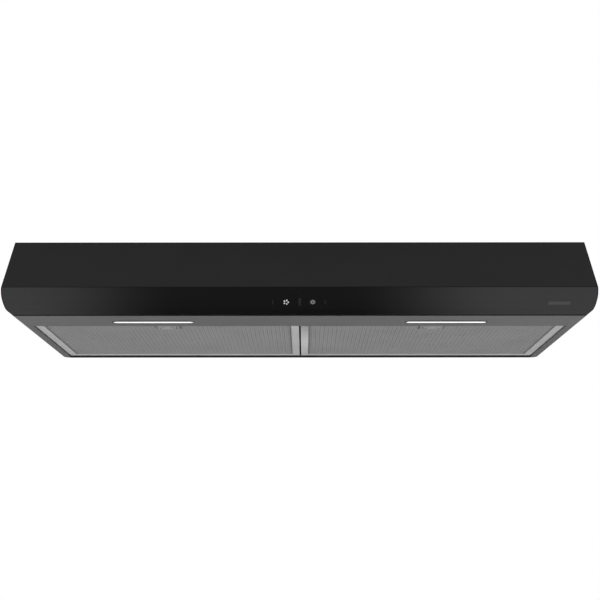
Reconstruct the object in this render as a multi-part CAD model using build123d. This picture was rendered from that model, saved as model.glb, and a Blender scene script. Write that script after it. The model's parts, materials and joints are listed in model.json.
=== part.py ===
"""Under cabinet range hood for a 30 inch cabinet, millimetres.

The parts are drawn in hood coordinates: X to the right, Y the depth behind the nose, Z the height
above the underside. save() moves each one to the mounting frame, whose origin is the centre of the
four cabinet screws on the top panel's upper face.
"""
import math
import os

from build123d import *

# Body
BODY_WIDTH = 759.0
BODY_DEPTH = 470.0
BODY_HEIGHT = 98.5
SHEET = 1.0
REAR_CORNER_RADIUS = 12.0

# Side profile
FASCIA_TOP_DEPTH = 72.0
BROW_RADIUS = 4.0
NOSE_RISE = 21.6
NOSE_DEPTH = 40.0
NOSE_TIP_RADIUS = 13.5
SEAM_GAP = 0.6
FASCIA_FLANGE_END = 87.0
FASCIA_RETURN = 5.0
BAND_THICKNESS = 2.4
BAND_END = 66.5
BACKING_THICKNESS = 1.2

# Cabinet screws
ORIGIN_DEPTH = 270.0
SCREW_SPACING_X = 660.0
SCREW_SPACING_Y = 300.0
SCREW_SLOT_WIDTH = 6.5
SCREW_SLOT_LENGTH = 14.0

# Underside
STRIP_START = 71.0
OPENING_START = 160.0
OPENING_HALF_WIDTH = 369.8
REAR_FLANGE_START = 461.5
LIP_HEIGHT = 12.0
LIGHT_X = 199.0
LIGHT_DEPTH = 126.5
LIGHT_LENGTH = 110.0
LIGHT_WIDTH = 20.0
LIGHT_GAP = 1.0
CENTRE_RAIL_HALF_WIDTH = 9.0
CENTRE_RAIL_HEIGHT = 8.0
SWING_NOTCH_REACH = 10.0
SWING_NOTCH_HEIGHT = 2.5

# Light bars
LENS_HEIGHTS = (0.2, 2.6)
LENS_FLANGE = 3.0
LENS_FLANGE_BOTTOM = 1.1
TRAY_HALF_SIZE = (65.0, 17.0)
TRAY_HEIGHTS = (2.7, 16.0)
LIGHT_BOARD_HALF_SIZE = (54.0, 7.0)
BOARD_SHEET = 1.6
CHIP_COUNT = 9
CHIP_PITCH = 12.0
CHIP_HALF_SIZE = 1.5
CHIP_HEIGHT = 0.8
DRIVER_X = (-320.0, -230.0)
DRIVER_DEPTHS = (96.0, 140.0)
DRIVER_HEIGHTS = (26.0, 50.0)
DRIVER_EAR = 12.0
DRIVER_EAR_DEPTHS = (108.0, 128.0)
DRIVER_EAR_SHEET = 2.0

# Filters
FILTER_INNER_X = 1.25
FILTER_OUTER_X = 368.0
FILTER_START = 161.5
FILTER_END = 459.0
FILTER_BOTTOM = 2.0
FILTER_THICKNESS = 9.0
RAIL_WIDTH = 11.0
RAIL_WALL = 4.0
MESH_THICKNESS = 5.8
MESH_PLAY = 0.1
PIVOT_DEPTH = 454.0
PIVOT_HEIGHT = FILTER_BOTTOM + FILTER_THICKNESS / 2
PIVOT_PIN_RADIUS = 2.0
RUNNING_FIT = 0.05
PIN_REACH = 3.4

# Filter latches
LATCH_X = (FILTER_INNER_X + FILTER_OUTER_X) / 2
CASE_HALF_WIDTH = 16.0
CASE_END = 203.0
CASE_ROOF = 2.4
BOLT_HALF_WIDTH = 11.8
BOLT_START = 162.6
BOLT_END = 188.0
BOLT_BOTTOM = 0.5
BOLT_TOP = 8.2
BOLT_WALL = 2.8
TONGUE_HALF_WIDTH = 7.0
TONGUE_START = 160.6
TONGUE_BOTTOM = 3.0
GUIDE_REACH = 2.0
GUIDE_THICKNESS = 2.0
CASE_WALL = 2.0
BOLT_PLAY = 0.4
GUIDE_PLAY = 0.3
LEAF_SHEET = 0.6
LEAF_TURNS = 5
LEAF_REACH = 6.0
LEAF_BOTTOM = 4.0
LEAF_HEIGHT = 3.5

# Blower
BLOWER_X = -13.0
BLOWER_DEPTH = 270.0
VOLUTE_RADII = (90.0, 99.0, 108.0)
TONGUE_ANGLE = 50.0
VOLUTE_OUTLET = 365.9
SCROLL_TOP = 97.5
SCROLL_BOTTOM = 31.5
INLET_HOLE_RADIUS = 66.0
BELL_RADIUS = 8.0
BELL_SHEET = 1.2
WHEEL_RADIUS = 80.0
WHEEL_EYE_RADIUS = 66.0
WHEEL_TOP = 85.5
WHEEL_BOTTOM = 37.0
WHEEL_SHEET = 1.2
BLADE_COUNT = 36
CUP_RADIUS = 40.0
CUP_FLOOR = 45.3
HUB_RADIUS = 10.0
HUB_BOTTOM = 39.0
SHAFT_RADIUS = 4.0
SHAFT_BOTTOM = 34.5
SHAFT_TOP = 75.0
NUT_FLATS = 13.0
NUT_BOTTOM = 33.5
MOTOR_RADIUS = 36.0
MOTOR_BOTTOM = 50.0
MOTOR_TOP = 90.0
BRACKET_SHEET = 1.5
BRACKET_REACH = 52.0
ISOLATOR_RADIUS = 6.0
BRACKET_SCREW_RADIUS = 2.0
BRACKET_HUB_RADIUS = 24.0
BRACKET_ARM_HALF_WIDTH = 8.0
MOTOR_ROUNDING = 4.0
LOWER_RING_WIDTH = 5.0
LOWER_RING_HEIGHT = 2.0
BELL_RIM = 10.0
SCREW_HEAD_RADIUS = 3.8
SCREW_HEAD_HEIGHT = 2.2

# Duct
COLLAR_WIDTH = 254.0
COLLAR_DEPTH = 82.5
COLLAR_START = 372.0
COLLAR_RISE = 28.0
COLLAR_FLANGE = 12.0
FLAP_HEIGHT = 107.0
FLAP_AXIS_DEPTH = 451.0
FLAP_HALF_WIDTH = 125.0
FLAP_SHEET = 0.8
FLAP_FRONT = 374.5
KNUCKLE_RADIUS = 2.2
ROD_RADIUS = 1.5
STOP_HEIGHT = 106.3
PLENUM_HALF_WIDTH = 128.0
PLENUM_START = 366.0
PLENUM_BOTTOM = 30.5
REAR_PORT_HALF_WIDTH = 124.0
REAR_PORT_HEIGHTS = (34.0, 94.0)
REAR_COVER_RIM = 2.8
REAR_COVER_SCREW_X = 100.0
REAR_COVER_SCREW_INSET = 8.0
REAR_COVER_GAP = 0.1
GRIP_SLOT_X = (-80.0, 0.0, 80.0)
GRIP_SLOT_HALF_LENGTH = 20.0
GRIP_SLOT_HEIGHTS = (10.0, 12.0)
COLLAR_SCREW_X = 133.0
COLLAR_SCREW_INSET = 12.0
STOP_LIP_WIDTH = 3.0

# Wiring
KNOCKOUT_RADIUS = 11.1
WIRING_X = (190.0, 290.0)
WIRING_DEPTHS = (400.0, 468.9)
WIRING_BOTTOM = 50.0
KNOCKOUT_X = 240.0
TOP_KNOCKOUT_DEPTH = 434.0
REAR_KNOCKOUT_HEIGHT = 74.0
BAFFLE_DEPTH = 150.0
HARNESS_HEIGHT = 88.0
HARNESS_RADIUS = 3.0
GROMMET_RADIUS = 6.0
POWER_BOX_X = (150.0, 330.0)
POWER_BOX_DEPTHS = (88.0, 142.0)
POWER_BOX_HEIGHTS = (22.0, 62.0)

POWER_FOOT_REACH = 10.0
POWER_FOOT_DEPTHS = (108.0, 122.0)
POWER_BOARD_X = (156.0, 324.0)
POWER_BOARD_DEPTHS = (92.0, 138.0)
POWER_BOARD_BOTTOM = 27.0
POWER_COMPONENTS = {
    "transformer": ((165, 193), (96, 120), 22),
    "fan_relay": ((200, 220), (97, 112), 15),
    "light_relay": ((224, 244), (97, 112), 15),
    "fuse": ((205, 228), (124, 131), 9),
    "terminals": ((250, 262), (96, 136), 12),
}
CAPACITOR_RADIUS = 13.0
CAPACITOR_X = (276.0, 316.0)
CAPACITOR_DEPTH = 114.0
LEAD_ENTRY_DEPTH = 120.0
LEAD_BEND = 14.0
LEAD_ENTRY_REACH = 8.0
LEAD_PLAY = 0.2
TERMINAL_X = (205.0, 245.0)
TERMINAL_DEPTHS = (408.0, 422.0)
TERMINAL_HEIGHTS = (60.0, 74.0)
TERMINAL_POLES = 3
TERMINAL_PITCH = 13.0
TERMINAL_HOLE_RADIUS = 3.0
TERMINAL_HOLE_DEPTH = 4.0

# Touch keys
KEY_X = 17.0
KEY_TILT = 26.3
LIGHT_GUIDE_SIZE = (12.0, 8.0, 6.8)
LIGHT_GUIDE_GAP = 0.4
TOUCH_BOARD_SIZE = (120.0, 18.0, 1.6)
TOUCH_BOARD_INSET = 11.0
TOUCH_PLUG_X = 48.0
TOUCH_PLUG_SIZE = (12.0, 8.0, 5.0)


def block(x, y, z):
    """Box between two corners, each side given as a (low, high) pair."""
    size = [high - low for low, high in (x, y, z)]
    middle = [(high + low) / 2 for low, high in (x, y, z)]
    return Pos(*middle) * Box(*size)


def across(half_width, y, z):
    """Box that reaches as far to the left as to the right."""
    return block((-half_width, half_width), y, z)


def upright(radius, x, y, z):
    """Round bar that stands upright between two heights."""
    return Pos(x, y, (z[0] + z[1]) / 2) * Cylinder(radius, z[1] - z[0])


def crossways(radius, x, y, z):
    """Round bar that lies along X between two places."""
    return Pos((x[0] + x[1]) / 2, y, z) * Rot(0, 90, 0) * Cylinder(radius, x[1] - x[0])


def capsule(length, width, x, y, z):
    """Flat bar with round ends, along X, centred at x and y."""
    face = Rectangle(length - width, width)
    for end in (-1, 1):
        face += Pos(end * (length - width) / 2, 0) * Circle(width / 2)
    return Pos(x, y, z[0]) * extrude(face, z[1] - z[0])


def standing(size):
    """Box that stands on the origin."""
    return Box(*size, align=(Align.CENTER, Align.CENTER, Align.MIN))


def both_sides(shape):
    """A right-hand piece and its mirror image on the left."""
    return {"right": shape, "left": mirror(shape, Plane.YZ)}


def save(name, shape):
    """Move a piece to the mounting frame and write it."""
    placed = shape.moved(Location((0, -ORIGIN_DEPTH, -BODY_HEIGHT)))
    export_step(placed, f"parts/{name}.step")


def save_pair(name, shape):
    """Write a right-hand piece and its left-hand twin."""
    for side, piece in both_sides(shape).items():
        save(f"{name}_{side}", piece)


# Side profile: flat underside, two tangent nose arcs, a small brow arc, the straight fascia, flat top

def fascia_slope():
    """Angle of the fascia above the horizontal, in radians: tangent to the brow, through its top edge."""
    run = FASCIA_TOP_DEPTH - BROW_RADIUS
    rise = BODY_HEIGHT - NOSE_RISE
    return math.atan2(rise, run) - math.asin(BROW_RADIUS / math.hypot(run, rise))


def belly_radius():
    """Radius of the lower nose arc, tangent to the underside and to the nose tip arc."""
    run = NOSE_DEPTH - NOSE_TIP_RADIUS
    square = run ** 2 + NOSE_RISE ** 2 - NOSE_TIP_RADIUS ** 2
    return square / (2 * (NOSE_RISE - NOSE_TIP_RADIUS))


def outline(inset=0.0):
    """Side profile of the hood, moved inwards by inset, as a face across X."""
    slope = fascia_slope()
    belly = belly_radius()
    join = math.degrees(math.atan2(NOSE_RISE - belly, NOSE_TIP_RADIUS - NOSE_DEPTH))
    normal = 90 + math.degrees(slope)
    top = BODY_HEIGHT - inset
    back = BODY_DEPTH - inset
    bottom_arc = CenterArc((NOSE_DEPTH, belly), belly - inset, -90, join + 90)
    tip_arc = CenterArc((NOSE_TIP_RADIUS, NOSE_RISE), NOSE_TIP_RADIUS - inset, join, -180 - join)
    brow_arc = CenterArc((BROW_RADIUS, NOSE_RISE), BROW_RADIUS - inset, 180, normal - 180)
    foot = brow_arc @ 1
    corner = (foot.X + (top - foot.Y) / math.tan(slope), top)
    edges = [
        bottom_arc,
        tip_arc,
        brow_arc,
        Line(foot, corner),
        Line(corner, (back, top)),
        Line((back, top), (back, inset)),
        Line((back, inset), bottom_arc @ 0),
    ]
    return Plane.YZ * make_face(edges)


def skin(outer, inner, half_width):
    """Shell between two insets of the side profile."""
    solid = extrude(outline(outer), half_width, both=True)
    return solid - extrude(outline(inner), half_width, both=True)


def seam_plane(gap):
    """Plane across the fascia's lower edge, moved up the slope by gap."""
    slope = fascia_slope()
    up = Vector(0, math.cos(slope), math.sin(slope))
    out = Vector(0, -math.sin(slope), math.cos(slope))
    foot = Vector(0, BROW_RADIUS, NOSE_RISE) + out * BROW_RADIUS
    return Plane(origin=foot + up * gap, x_dir=(1, 0, 0), z_dir=up)


# Shell

def front_fascia():
    """Sloped front sheet with a top flange and a short return at its lower edge."""
    half = BODY_WIDTH / 2 - SHEET
    sheet = skin(0, SHEET, half) & across(half, (0, FASCIA_FLANGE_END), (15, BODY_HEIGHT))
    sheet = split(sheet, seam_plane(SEAM_GAP), keep=Keep.TOP)
    lower = Box(2 * half, FASCIA_RETURN, SHEET, align=(Align.CENTER, Align.MIN, Align.MIN))
    return sheet + seam_plane(SEAM_GAP) * lower


def control_band():
    """Glossy band that wraps the nose, from the fascia seam to the light strip."""
    half = BODY_WIDTH / 2 - SHEET
    band = skin(0, BAND_THICKNESS, half)
    belly_top = NOSE_RISE / 2
    upper = band & across(half, (0, NOSE_DEPTH / 2), (belly_top, BODY_HEIGHT / 2))
    lower = band & across(half, (0, BAND_END), (0, belly_top))
    return split(upper, seam_plane(0), keep=Keep.BOTTOM) + lower


def band_backing():
    """Dark backing behind the band, which shows in the gap before the light strip."""
    half = BODY_WIDTH / 2 - SHEET
    outer = BAND_THICKNESS + 0.1
    strip = skin(outer, outer + BACKING_THICKNESS, half)
    return strip & across(half, (0, STRIP_START + 5), (0, NOSE_RISE - 6))


def top_panel():
    """Top sheet with four screw slots, the duct opening and the wiring knockout."""
    half = BODY_WIDTH / 2 - SHEET
    top = (BODY_HEIGHT - SHEET, BODY_HEIGHT)
    corner_start = BODY_DEPTH - REAR_CORNER_RADIUS
    panel = across(half, (FASCIA_FLANGE_END, corner_start), top)
    rear = across(BODY_WIDTH / 2, (corner_start, BODY_DEPTH), top)
    panel += rear & extrude(rounded_plan(), BODY_HEIGHT)
    for side in (-1, 1):
        for end in (-1, 1):
            x = side * SCREW_SPACING_X / 2
            y = ORIGIN_DEPTH + end * SCREW_SPACING_Y / 2
            panel -= capsule(SCREW_SLOT_LENGTH, SCREW_SLOT_WIDTH, x, y, top)
    inside = 2 * SHEET
    depths = (COLLAR_START + inside, COLLAR_START + COLLAR_DEPTH - inside)
    panel -= across(COLLAR_WIDTH / 2 - inside, depths, top)
    return panel - upright(KNOCKOUT_RADIUS, KNOCKOUT_X, TOP_KNOCKOUT_DEPTH, top)


def rounded_plan(inset=0.0):
    """Plan of the body with its rounded rear corners, moved inwards by inset."""
    width = BODY_WIDTH - 2 * inset
    face = Pos(0, BODY_DEPTH / 2) * Rectangle(width, BODY_DEPTH - 2 * inset)
    corners = face.vertices().group_by(Axis.Y)[-1]
    return fillet(corners, REAR_CORNER_RADIUS - inset)


def back_panel():
    """Back sheet that turns both rear corners, with a lower flange, duct port and wiring knockout."""
    walls = extrude(rounded_plan(), BODY_HEIGHT) - extrude(rounded_plan(SHEET), BODY_HEIGHT)
    start = BODY_DEPTH - REAR_CORNER_RADIUS
    sheet = walls & across(BODY_WIDTH / 2, (start, BODY_DEPTH), (SHEET, BODY_HEIGHT - SHEET))
    flange = (REAR_FLANGE_START, BODY_DEPTH)
    sheet += across(OPENING_HALF_WIDTH - 0.3, flange, (0, SHEET))
    sheet += across(OPENING_HALF_WIDTH - 0.3, (BODY_DEPTH - SHEET, BODY_DEPTH), (0, 5))
    back = (BODY_DEPTH - SHEET, BODY_DEPTH)
    sheet -= across(REAR_PORT_HALF_WIDTH, back, REAR_PORT_HEIGHTS)
    hole = Pos(KNOCKOUT_X, BODY_DEPTH, REAR_KNOCKOUT_HEIGHT) * Rot(90, 0, 0)
    return sheet - hole * Cylinder(KNOCKOUT_RADIUS, 4 * SHEET)


def side_panel():
    """Right side sheet, cut to the full profile."""
    edge = BODY_WIDTH / 2
    plate = Pos(edge - SHEET, 0, 0) * extrude(outline(), SHEET)
    plate -= block((0, edge), (STRIP_START, BODY_DEPTH), (0, SHEET))
    return plate - block((0, edge), (BODY_DEPTH - REAR_CORNER_RADIUS, BODY_DEPTH), (0, BODY_HEIGHT))


def underside_frame():
    """Grey sheet below the body: light strip in front, a rim on each side, lips round the opening."""
    plan = rounded_plan() & (Pos(0, BODY_DEPTH) * Rectangle(BODY_WIDTH, 2 * (BODY_DEPTH - STRIP_START)))
    frame = extrude(plan, SHEET)
    frame -= across(OPENING_HALF_WIDTH, (OPENING_START, BODY_DEPTH), (0, SHEET))
    lip = (OPENING_START - SHEET, OPENING_START)
    frame += across(OPENING_HALF_WIDTH, lip, (SHEET, LIP_HEIGHT))
    for side in (-1, 1):
        edges = sorted((side * OPENING_HALF_WIDTH, side * (OPENING_HALF_WIDTH + SHEET)))
        frame += block(edges, (OPENING_START - SHEET, PIVOT_DEPTH - 8), (SHEET, LIP_HEIGHT))
        frame -= capsule(
            LIGHT_LENGTH + 2 * LIGHT_GAP,
            LIGHT_WIDTH + 2 * LIGHT_GAP,
            side * LIGHT_X,
            LIGHT_DEPTH,
            (0, SHEET),
        )
    return frame


def front_baffle():
    """Upright sheet that closes the electrical space off from the air, with two cable holes."""
    half = BODY_WIDTH / 2 - 2 * SHEET
    sheet = across(half, (BAFFLE_DEPTH, BAFFLE_DEPTH + SHEET), (SHEET, BODY_HEIGHT - SHEET))
    for x in harness_lanes():
        hole = Pos(x, BAFFLE_DEPTH, HARNESS_HEIGHT) * Rot(90, 0, 0)
        sheet -= hole * Cylinder(GROMMET_RADIUS, 4 * SHEET)
    return sheet


def centre_rail():
    """Channel above the joint between the filters, open below, notched where the frames swing up."""
    half = CENTRE_RAIL_HALF_WIDTH
    depths = (BAFFLE_DEPTH + SHEET, BODY_DEPTH - SHEET)
    low = FILTER_BOTTOM + FILTER_THICKNESS + SHEET
    high = low + CENTRE_RAIL_HEIGHT
    rail = across(half, depths, (low, high)) - across(half - SHEET, depths, (low, high - SHEET))
    swing = (PIVOT_DEPTH - SWING_NOTCH_REACH, BODY_DEPTH)
    return rail - across(half, swing, (low, low + SWING_NOTCH_HEIGHT))


# Lights

def light_lens():
    """Capsule lens that drops into its slot from above, with a flange on the sheet."""
    lens = capsule(LIGHT_LENGTH, LIGHT_WIDTH, LIGHT_X, LIGHT_DEPTH, LENS_HEIGHTS)
    length = LIGHT_LENGTH + 2 * LENS_FLANGE
    width = LIGHT_WIDTH + 2 * LENS_FLANGE
    return lens + capsule(length, width, LIGHT_X, LIGHT_DEPTH, (LENS_FLANGE_BOTTOM, LENS_HEIGHTS[1]))


def light_tray():
    """Reflector tray over the lens, open below."""
    low, high = TRAY_HEIGHTS
    x = (LIGHT_X - TRAY_HALF_SIZE[0], LIGHT_X + TRAY_HALF_SIZE[0])
    y = (LIGHT_DEPTH - TRAY_HALF_SIZE[1], LIGHT_DEPTH + TRAY_HALF_SIZE[1])
    inner_x = (x[0] + SHEET, x[1] - SHEET)
    inner_y = (y[0] + SHEET, y[1] - SHEET)
    return block(x, y, (low, high)) - block(inner_x, inner_y, (low, high - SHEET))


def light_board():
    """Circuit board under the tray's roof with a row of light-emitting chips."""
    half_x, half_y = LIGHT_BOARD_HALF_SIZE
    top = TRAY_HEIGHTS[1] - SHEET
    low = top - BOARD_SHEET
    y = (LIGHT_DEPTH - half_y, LIGHT_DEPTH + half_y)
    board = block((LIGHT_X - half_x, LIGHT_X + half_x), y, (low, top))
    half = CHIP_HALF_SIZE
    chip_y = (LIGHT_DEPTH - half, LIGHT_DEPTH + half)
    for place in range(CHIP_COUNT):
        x = LIGHT_X + CHIP_PITCH * (place - (CHIP_COUNT - 1) / 2)
        board += block((x - half, x + half), chip_y, (low - CHIP_HEIGHT, low))
    return board


def light_driver():
    """Potted driver block for both light boards, with two mounting ears."""
    body = block(DRIVER_X, DRIVER_DEPTHS, DRIVER_HEIGHTS)
    ear_x = (DRIVER_X[0] - DRIVER_EAR, DRIVER_X[1] + DRIVER_EAR)
    low = DRIVER_HEIGHTS[0]
    return body + block(ear_x, DRIVER_EAR_DEPTHS, (low, low + DRIVER_EAR_SHEET))


# Touch keys

def key_frame(inset):
    """Frame on the lower nose arc at the keys, with Z pointing into the hood."""
    tilt = math.radians(KEY_TILT)
    belly = belly_radius()
    inward = Vector(0, math.sin(tilt), math.cos(tilt))
    place = Vector(0, NOSE_DEPTH, belly) - inward * (belly - inset)
    return Plane(origin=place, x_dir=(1, 0, 0), z_dir=inward)


def key_light_guides():
    """Two clear blocks that carry light from the touch board to the key symbols."""
    guides = Part()
    for side in (-1, 1):
        guides += Pos(side * KEY_X, 0, 0) * standing(LIGHT_GUIDE_SIZE)
    return key_frame(BAND_THICKNESS + BACKING_THICKNESS + LIGHT_GUIDE_GAP) * guides


def touch_board():
    """Touch sensor board behind the keys."""
    plug = Pos(TOUCH_PLUG_X, 0, TOUCH_BOARD_SIZE[2]) * standing(TOUCH_PLUG_SIZE)
    return key_frame(TOUCH_BOARD_INSET) * (standing(TOUCH_BOARD_SIZE) + plug)


# Power and wiring

def harness_lanes():
    """X of the supply lead and of the motor lead, where both pass the baffle."""
    return (270.0, 215.0)


def power_box():
    """Tray that holds the control electronics, with two mounting feet."""
    x, y, z = POWER_BOX_X, POWER_BOX_DEPTHS, POWER_BOX_HEIGHTS
    tray = block(x, y, z)
    tray -= block((x[0] + SHEET, x[1] - SHEET), (y[0] + SHEET, y[1] - SHEET), (z[0] + SHEET, z[1]))
    foot_x = (x[0] - POWER_FOOT_REACH, x[1] + POWER_FOOT_REACH)
    return tray + block(foot_x, POWER_FOOT_DEPTHS, (z[0] - SHEET, z[0]))


def power_box_cover():
    """Flat lid with an entry hole for each lead."""
    top = POWER_BOX_HEIGHTS[1]
    lid = block(POWER_BOX_X, POWER_BOX_DEPTHS, (top, top + SHEET))
    for x in harness_lanes():
        lid -= upright(HARNESS_RADIUS + LEAD_PLAY, x, LEAD_ENTRY_DEPTH, (top, top + SHEET))
    return lid


def power_board():
    """Control board with its transformer, relays, fuse and terminal strip."""
    top = POWER_BOARD_BOTTOM + BOARD_SHEET
    board = block(POWER_BOARD_X, POWER_BOARD_DEPTHS, (POWER_BOARD_BOTTOM, top))
    for x, y, rise in POWER_COMPONENTS.values():
        board += block(x, y, (top, top + rise))
    return board


def fan_capacitor():
    """Motor capacitor, a short can that lies on the board."""
    height = POWER_BOARD_BOTTOM + BOARD_SHEET + CAPACITOR_RADIUS + 0.1
    start, end = CAPACITOR_X
    can = crossways(CAPACITOR_RADIUS, (start, end), CAPACITOR_DEPTH, height)
    return can + crossways(2, (start - 5, start), CAPACITOR_DEPTH, height)


def wiring_box():
    """House wiring compartment below the top panel, open to both knockouts."""
    x, y = WIRING_X, WIRING_DEPTHS
    box = block(x, y, (WIRING_BOTTOM, BODY_HEIGHT - SHEET))
    inner_x = (x[0] + SHEET, x[1] - SHEET)
    box -= block(inner_x, (y[0] + SHEET, y[1]), (WIRING_BOTTOM, BODY_HEIGHT - SHEET))
    hole = Pos(harness_lanes()[0], y[0], HARNESS_HEIGHT) * Rot(90, 0, 0)
    return box - hole * Cylinder(HARNESS_RADIUS + LEAD_PLAY, 4 * SHEET)


def wiring_box_cover():
    """Removable cover of the wiring compartment, with its screw."""
    low = WIRING_BOTTOM - SHEET
    cover = block(WIRING_X, WIRING_DEPTHS, (low, WIRING_BOTTOM))
    return cover + upright(4, WIRING_X[0] + 15, 415, (low - 2, low))


def terminal_block():
    """Three-pole connector for the house wires."""
    body = block(TERMINAL_X, TERMINAL_DEPTHS, TERMINAL_HEIGHTS)
    middle = sum(TERMINAL_X) / 2
    top = TERMINAL_HEIGHTS[1]
    for pole in range(TERMINAL_POLES):
        x = middle + TERMINAL_PITCH * (pole - (TERMINAL_POLES - 1) / 2)
        body -= upright(TERMINAL_HOLE_RADIUS, x, sum(TERMINAL_DEPTHS) / 2, (top - TERMINAL_HOLE_DEPTH, top))
    return body


def route(*points, radius):
    """Round cable along straight runs joined by tangent arcs."""
    path = FilletPolyline(*points, radius=radius)
    start = Plane(origin=path @ 0, z_dir=path % 0)
    return sweep(start * Circle(HARNESS_RADIUS), path)


def harness_supply():
    """Supply lead from the wiring compartment to the power box."""
    lane = harness_lanes()[0]
    top = POWER_BOX_HEIGHTS[1]
    start = WIRING_DEPTHS[0] + SHEET
    points = (
        (lane, start, HARNESS_HEIGHT),
        (lane, LEAD_ENTRY_DEPTH, HARNESS_HEIGHT),
        (lane, LEAD_ENTRY_DEPTH, top - LEAD_ENTRY_REACH),
    )
    return route(*points, radius=LEAD_BEND)


def harness_motor():
    """Motor lead from the scroll wall to the power box."""
    lane = harness_lanes()[1]
    scroll_side = BLOWER_X + VOLUTE_RADII[2] + VOLUTE_RADII[1] - VOLUTE_RADII[0]
    points = (
        (scroll_side + 0.1, 300, HARNESS_HEIGHT),
        (lane, 300, HARNESS_HEIGHT),
        (lane, LEAD_ENTRY_DEPTH, HARNESS_HEIGHT),
        (lane, LEAD_ENTRY_DEPTH, POWER_BOX_HEIGHTS[1] - LEAD_ENTRY_REACH),
    )
    return route(*points, radius=LEAD_BEND)


def harness_control():
    """Leads from the power box and driver to the touch board and both light trays."""
    box_side = POWER_BOX_X[0] - 0.1
    driver_side = DRIVER_X[1] + 0.1
    tray_end = LIGHT_X - 65.1
    leads = route((box_side, 104, 36), (66, 104, 36), (48, 34, 22), radius=20)
    leads += straight_lead((box_side, 132, 46), (driver_side, 132, 46))
    leads += route((driver_side, 122, 32), (110, 122, 32), (110, 122, 9), (tray_end, 122, 9), radius=9)
    leads += route((driver_side, 112, 32), (-190, 112, 32), (-190, 112, 16.1), radius=9)
    return leads


def straight_lead(start, end):
    """Straight round cable between two points."""
    path = Line(start, end)
    return sweep(Plane(origin=path @ 0, z_dir=path % 0) * Circle(HARNESS_RADIUS), path)


def baffle_grommets():
    """Rubber rings that line the cable holes in the baffle."""
    rings = Part()
    for x in harness_lanes():
        place = Pos(x, BAFFLE_DEPTH + SHEET / 2, HARNESS_HEIGHT) * Rot(90, 0, 0)
        ring = Cylinder(GROMMET_RADIUS, SHEET)
        for side in (-1, 1):
            ring += Pos(0, 0, side * (SHEET / 2 + 0.75)) * Cylinder(GROMMET_RADIUS + 1.5, 1.5)
        rings += place * (ring - Cylinder(HARNESS_RADIUS + 0.1, 8))
    return rings


# Blower

def volute(inset=0.0, extra=0.0):
    """Plan of the scroll: three growing arcs and a straight outlet, moved inwards by inset."""
    first, second, third = VOLUTE_RADII
    c1 = (BLOWER_X, BLOWER_DEPTH)
    c2 = (c1[0] + second - first, c1[1])
    c3 = (c2[0], c2[1] + third - second)
    tongue_x = c1[0] + first * math.cos(math.radians(TONGUE_ANGLE)) + inset
    start = math.degrees(math.acos((tongue_x - c1[0]) / (first - inset)))
    arc1 = CenterArc(c1, first - inset, start, 180 - start)
    arc2 = CenterArc(c2, second - inset, 180, 90)
    arc3 = CenterArc(c3, third - inset, 270, 90)
    outlet = VOLUTE_OUTLET + extra
    outer_x = c3[0] + third - inset
    edges = [
        arc1,
        arc2,
        arc3,
        Line(arc3 @ 1, (outer_x, outlet)),
        Line((outer_x, outlet), (tongue_x, outlet)),
        Line((tongue_x, outlet), arc1 @ 0),
    ]
    return make_face(edges)


def blower_frame():
    """Frame on the wheel's axis at the height of the underside."""
    return Pos(BLOWER_X, BLOWER_DEPTH, 0)


def spokes():
    """Angles of the three bracket arms and of what is fixed at their ends."""
    return (30, 150, 270)


def scroll_housing():
    """Pressed scroll, closed on top and open below, with a hole for each bracket screw."""
    outer = Pos(0, 0, SCROLL_BOTTOM) * extrude(volute(), SCROLL_TOP - SCROLL_BOTTOM)
    height = SCROLL_TOP - SHEET - SCROLL_BOTTOM
    return outer - Pos(0, 0, SCROLL_BOTTOM) * extrude(volute(SHEET, 2), height)


def scroll_floor():
    """Floor plate of the scroll with its inlet hole."""
    plate = Pos(0, 0, SCROLL_BOTTOM - SHEET) * extrude(volute(), SHEET)
    return plate - blower_frame() * upright(INLET_HOLE_RADIUS, 0, 0, (SCROLL_BOTTOM - SHEET, SCROLL_BOTTOM))


def inlet_ring():
    """Rolled bell mouth below the floor plate, turned about the wheel's axis."""
    top = SCROLL_BOTTOM - SHEET - 0.1
    centre = (INLET_HOLE_RADIUS, top + BELL_RADIUS)
    rim = INLET_HOLE_RADIUS + BELL_RIM
    inner = CenterArc(centre, BELL_RADIUS, 180, 90)
    outer = CenterArc(centre, BELL_RADIUS + BELL_SHEET, 180, 90)
    edges = [
        inner,
        Line(inner @ 1, (rim, top)),
        Line((rim, top), (rim, top - BELL_SHEET)),
        Line((rim, top - BELL_SHEET), outer @ 1),
        outer,
        Line(outer @ 0, inner @ 0),
    ]
    return blower_frame() * revolve(Plane.XZ * make_face(edges), Axis.Z)


def motor_bracket():
    """Three-armed plate over the motor."""
    plate = (MOTOR_TOP, MOTOR_TOP + BRACKET_SHEET)
    bracket = upright(BRACKET_HUB_RADIUS, 0, 0, plate)
    half = BRACKET_ARM_HALF_WIDTH
    for angle in spokes():
        arm = block((0, BRACKET_REACH), (-half, half), plate) + upright(half, BRACKET_REACH, 0, plate)
        bracket += Rot(0, 0, angle) * (arm - upright(BRACKET_SCREW_RADIUS, BRACKET_REACH, 0, plate))
    return blower_frame() * bracket


def motor():
    """Motor can with rounded ends and a bearing bore from below."""
    can = upright(MOTOR_RADIUS, 0, 0, (MOTOR_BOTTOM, MOTOR_TOP))
    can = fillet(can.edges().filter_by(GeomType.CIRCLE), MOTOR_ROUNDING)
    bore = upright(SHAFT_RADIUS + RUNNING_FIT, 0, 0, (MOTOR_BOTTOM, SHAFT_TOP + 1))
    return blower_frame() * (can - bore)


def motor_isolators():
    """Rubber bushes between the bracket arms and the scroll."""
    heights = (MOTOR_TOP + BRACKET_SHEET, SCROLL_TOP - SHEET)
    bushes = Part()
    for angle in spokes():
        bush = upright(ISOLATOR_RADIUS, BRACKET_REACH, 0, heights)
        bushes += Rot(0, 0, angle) * (bush - upright(BRACKET_SCREW_RADIUS, BRACKET_REACH, 0, heights))
    return blower_frame() * bushes


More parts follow.
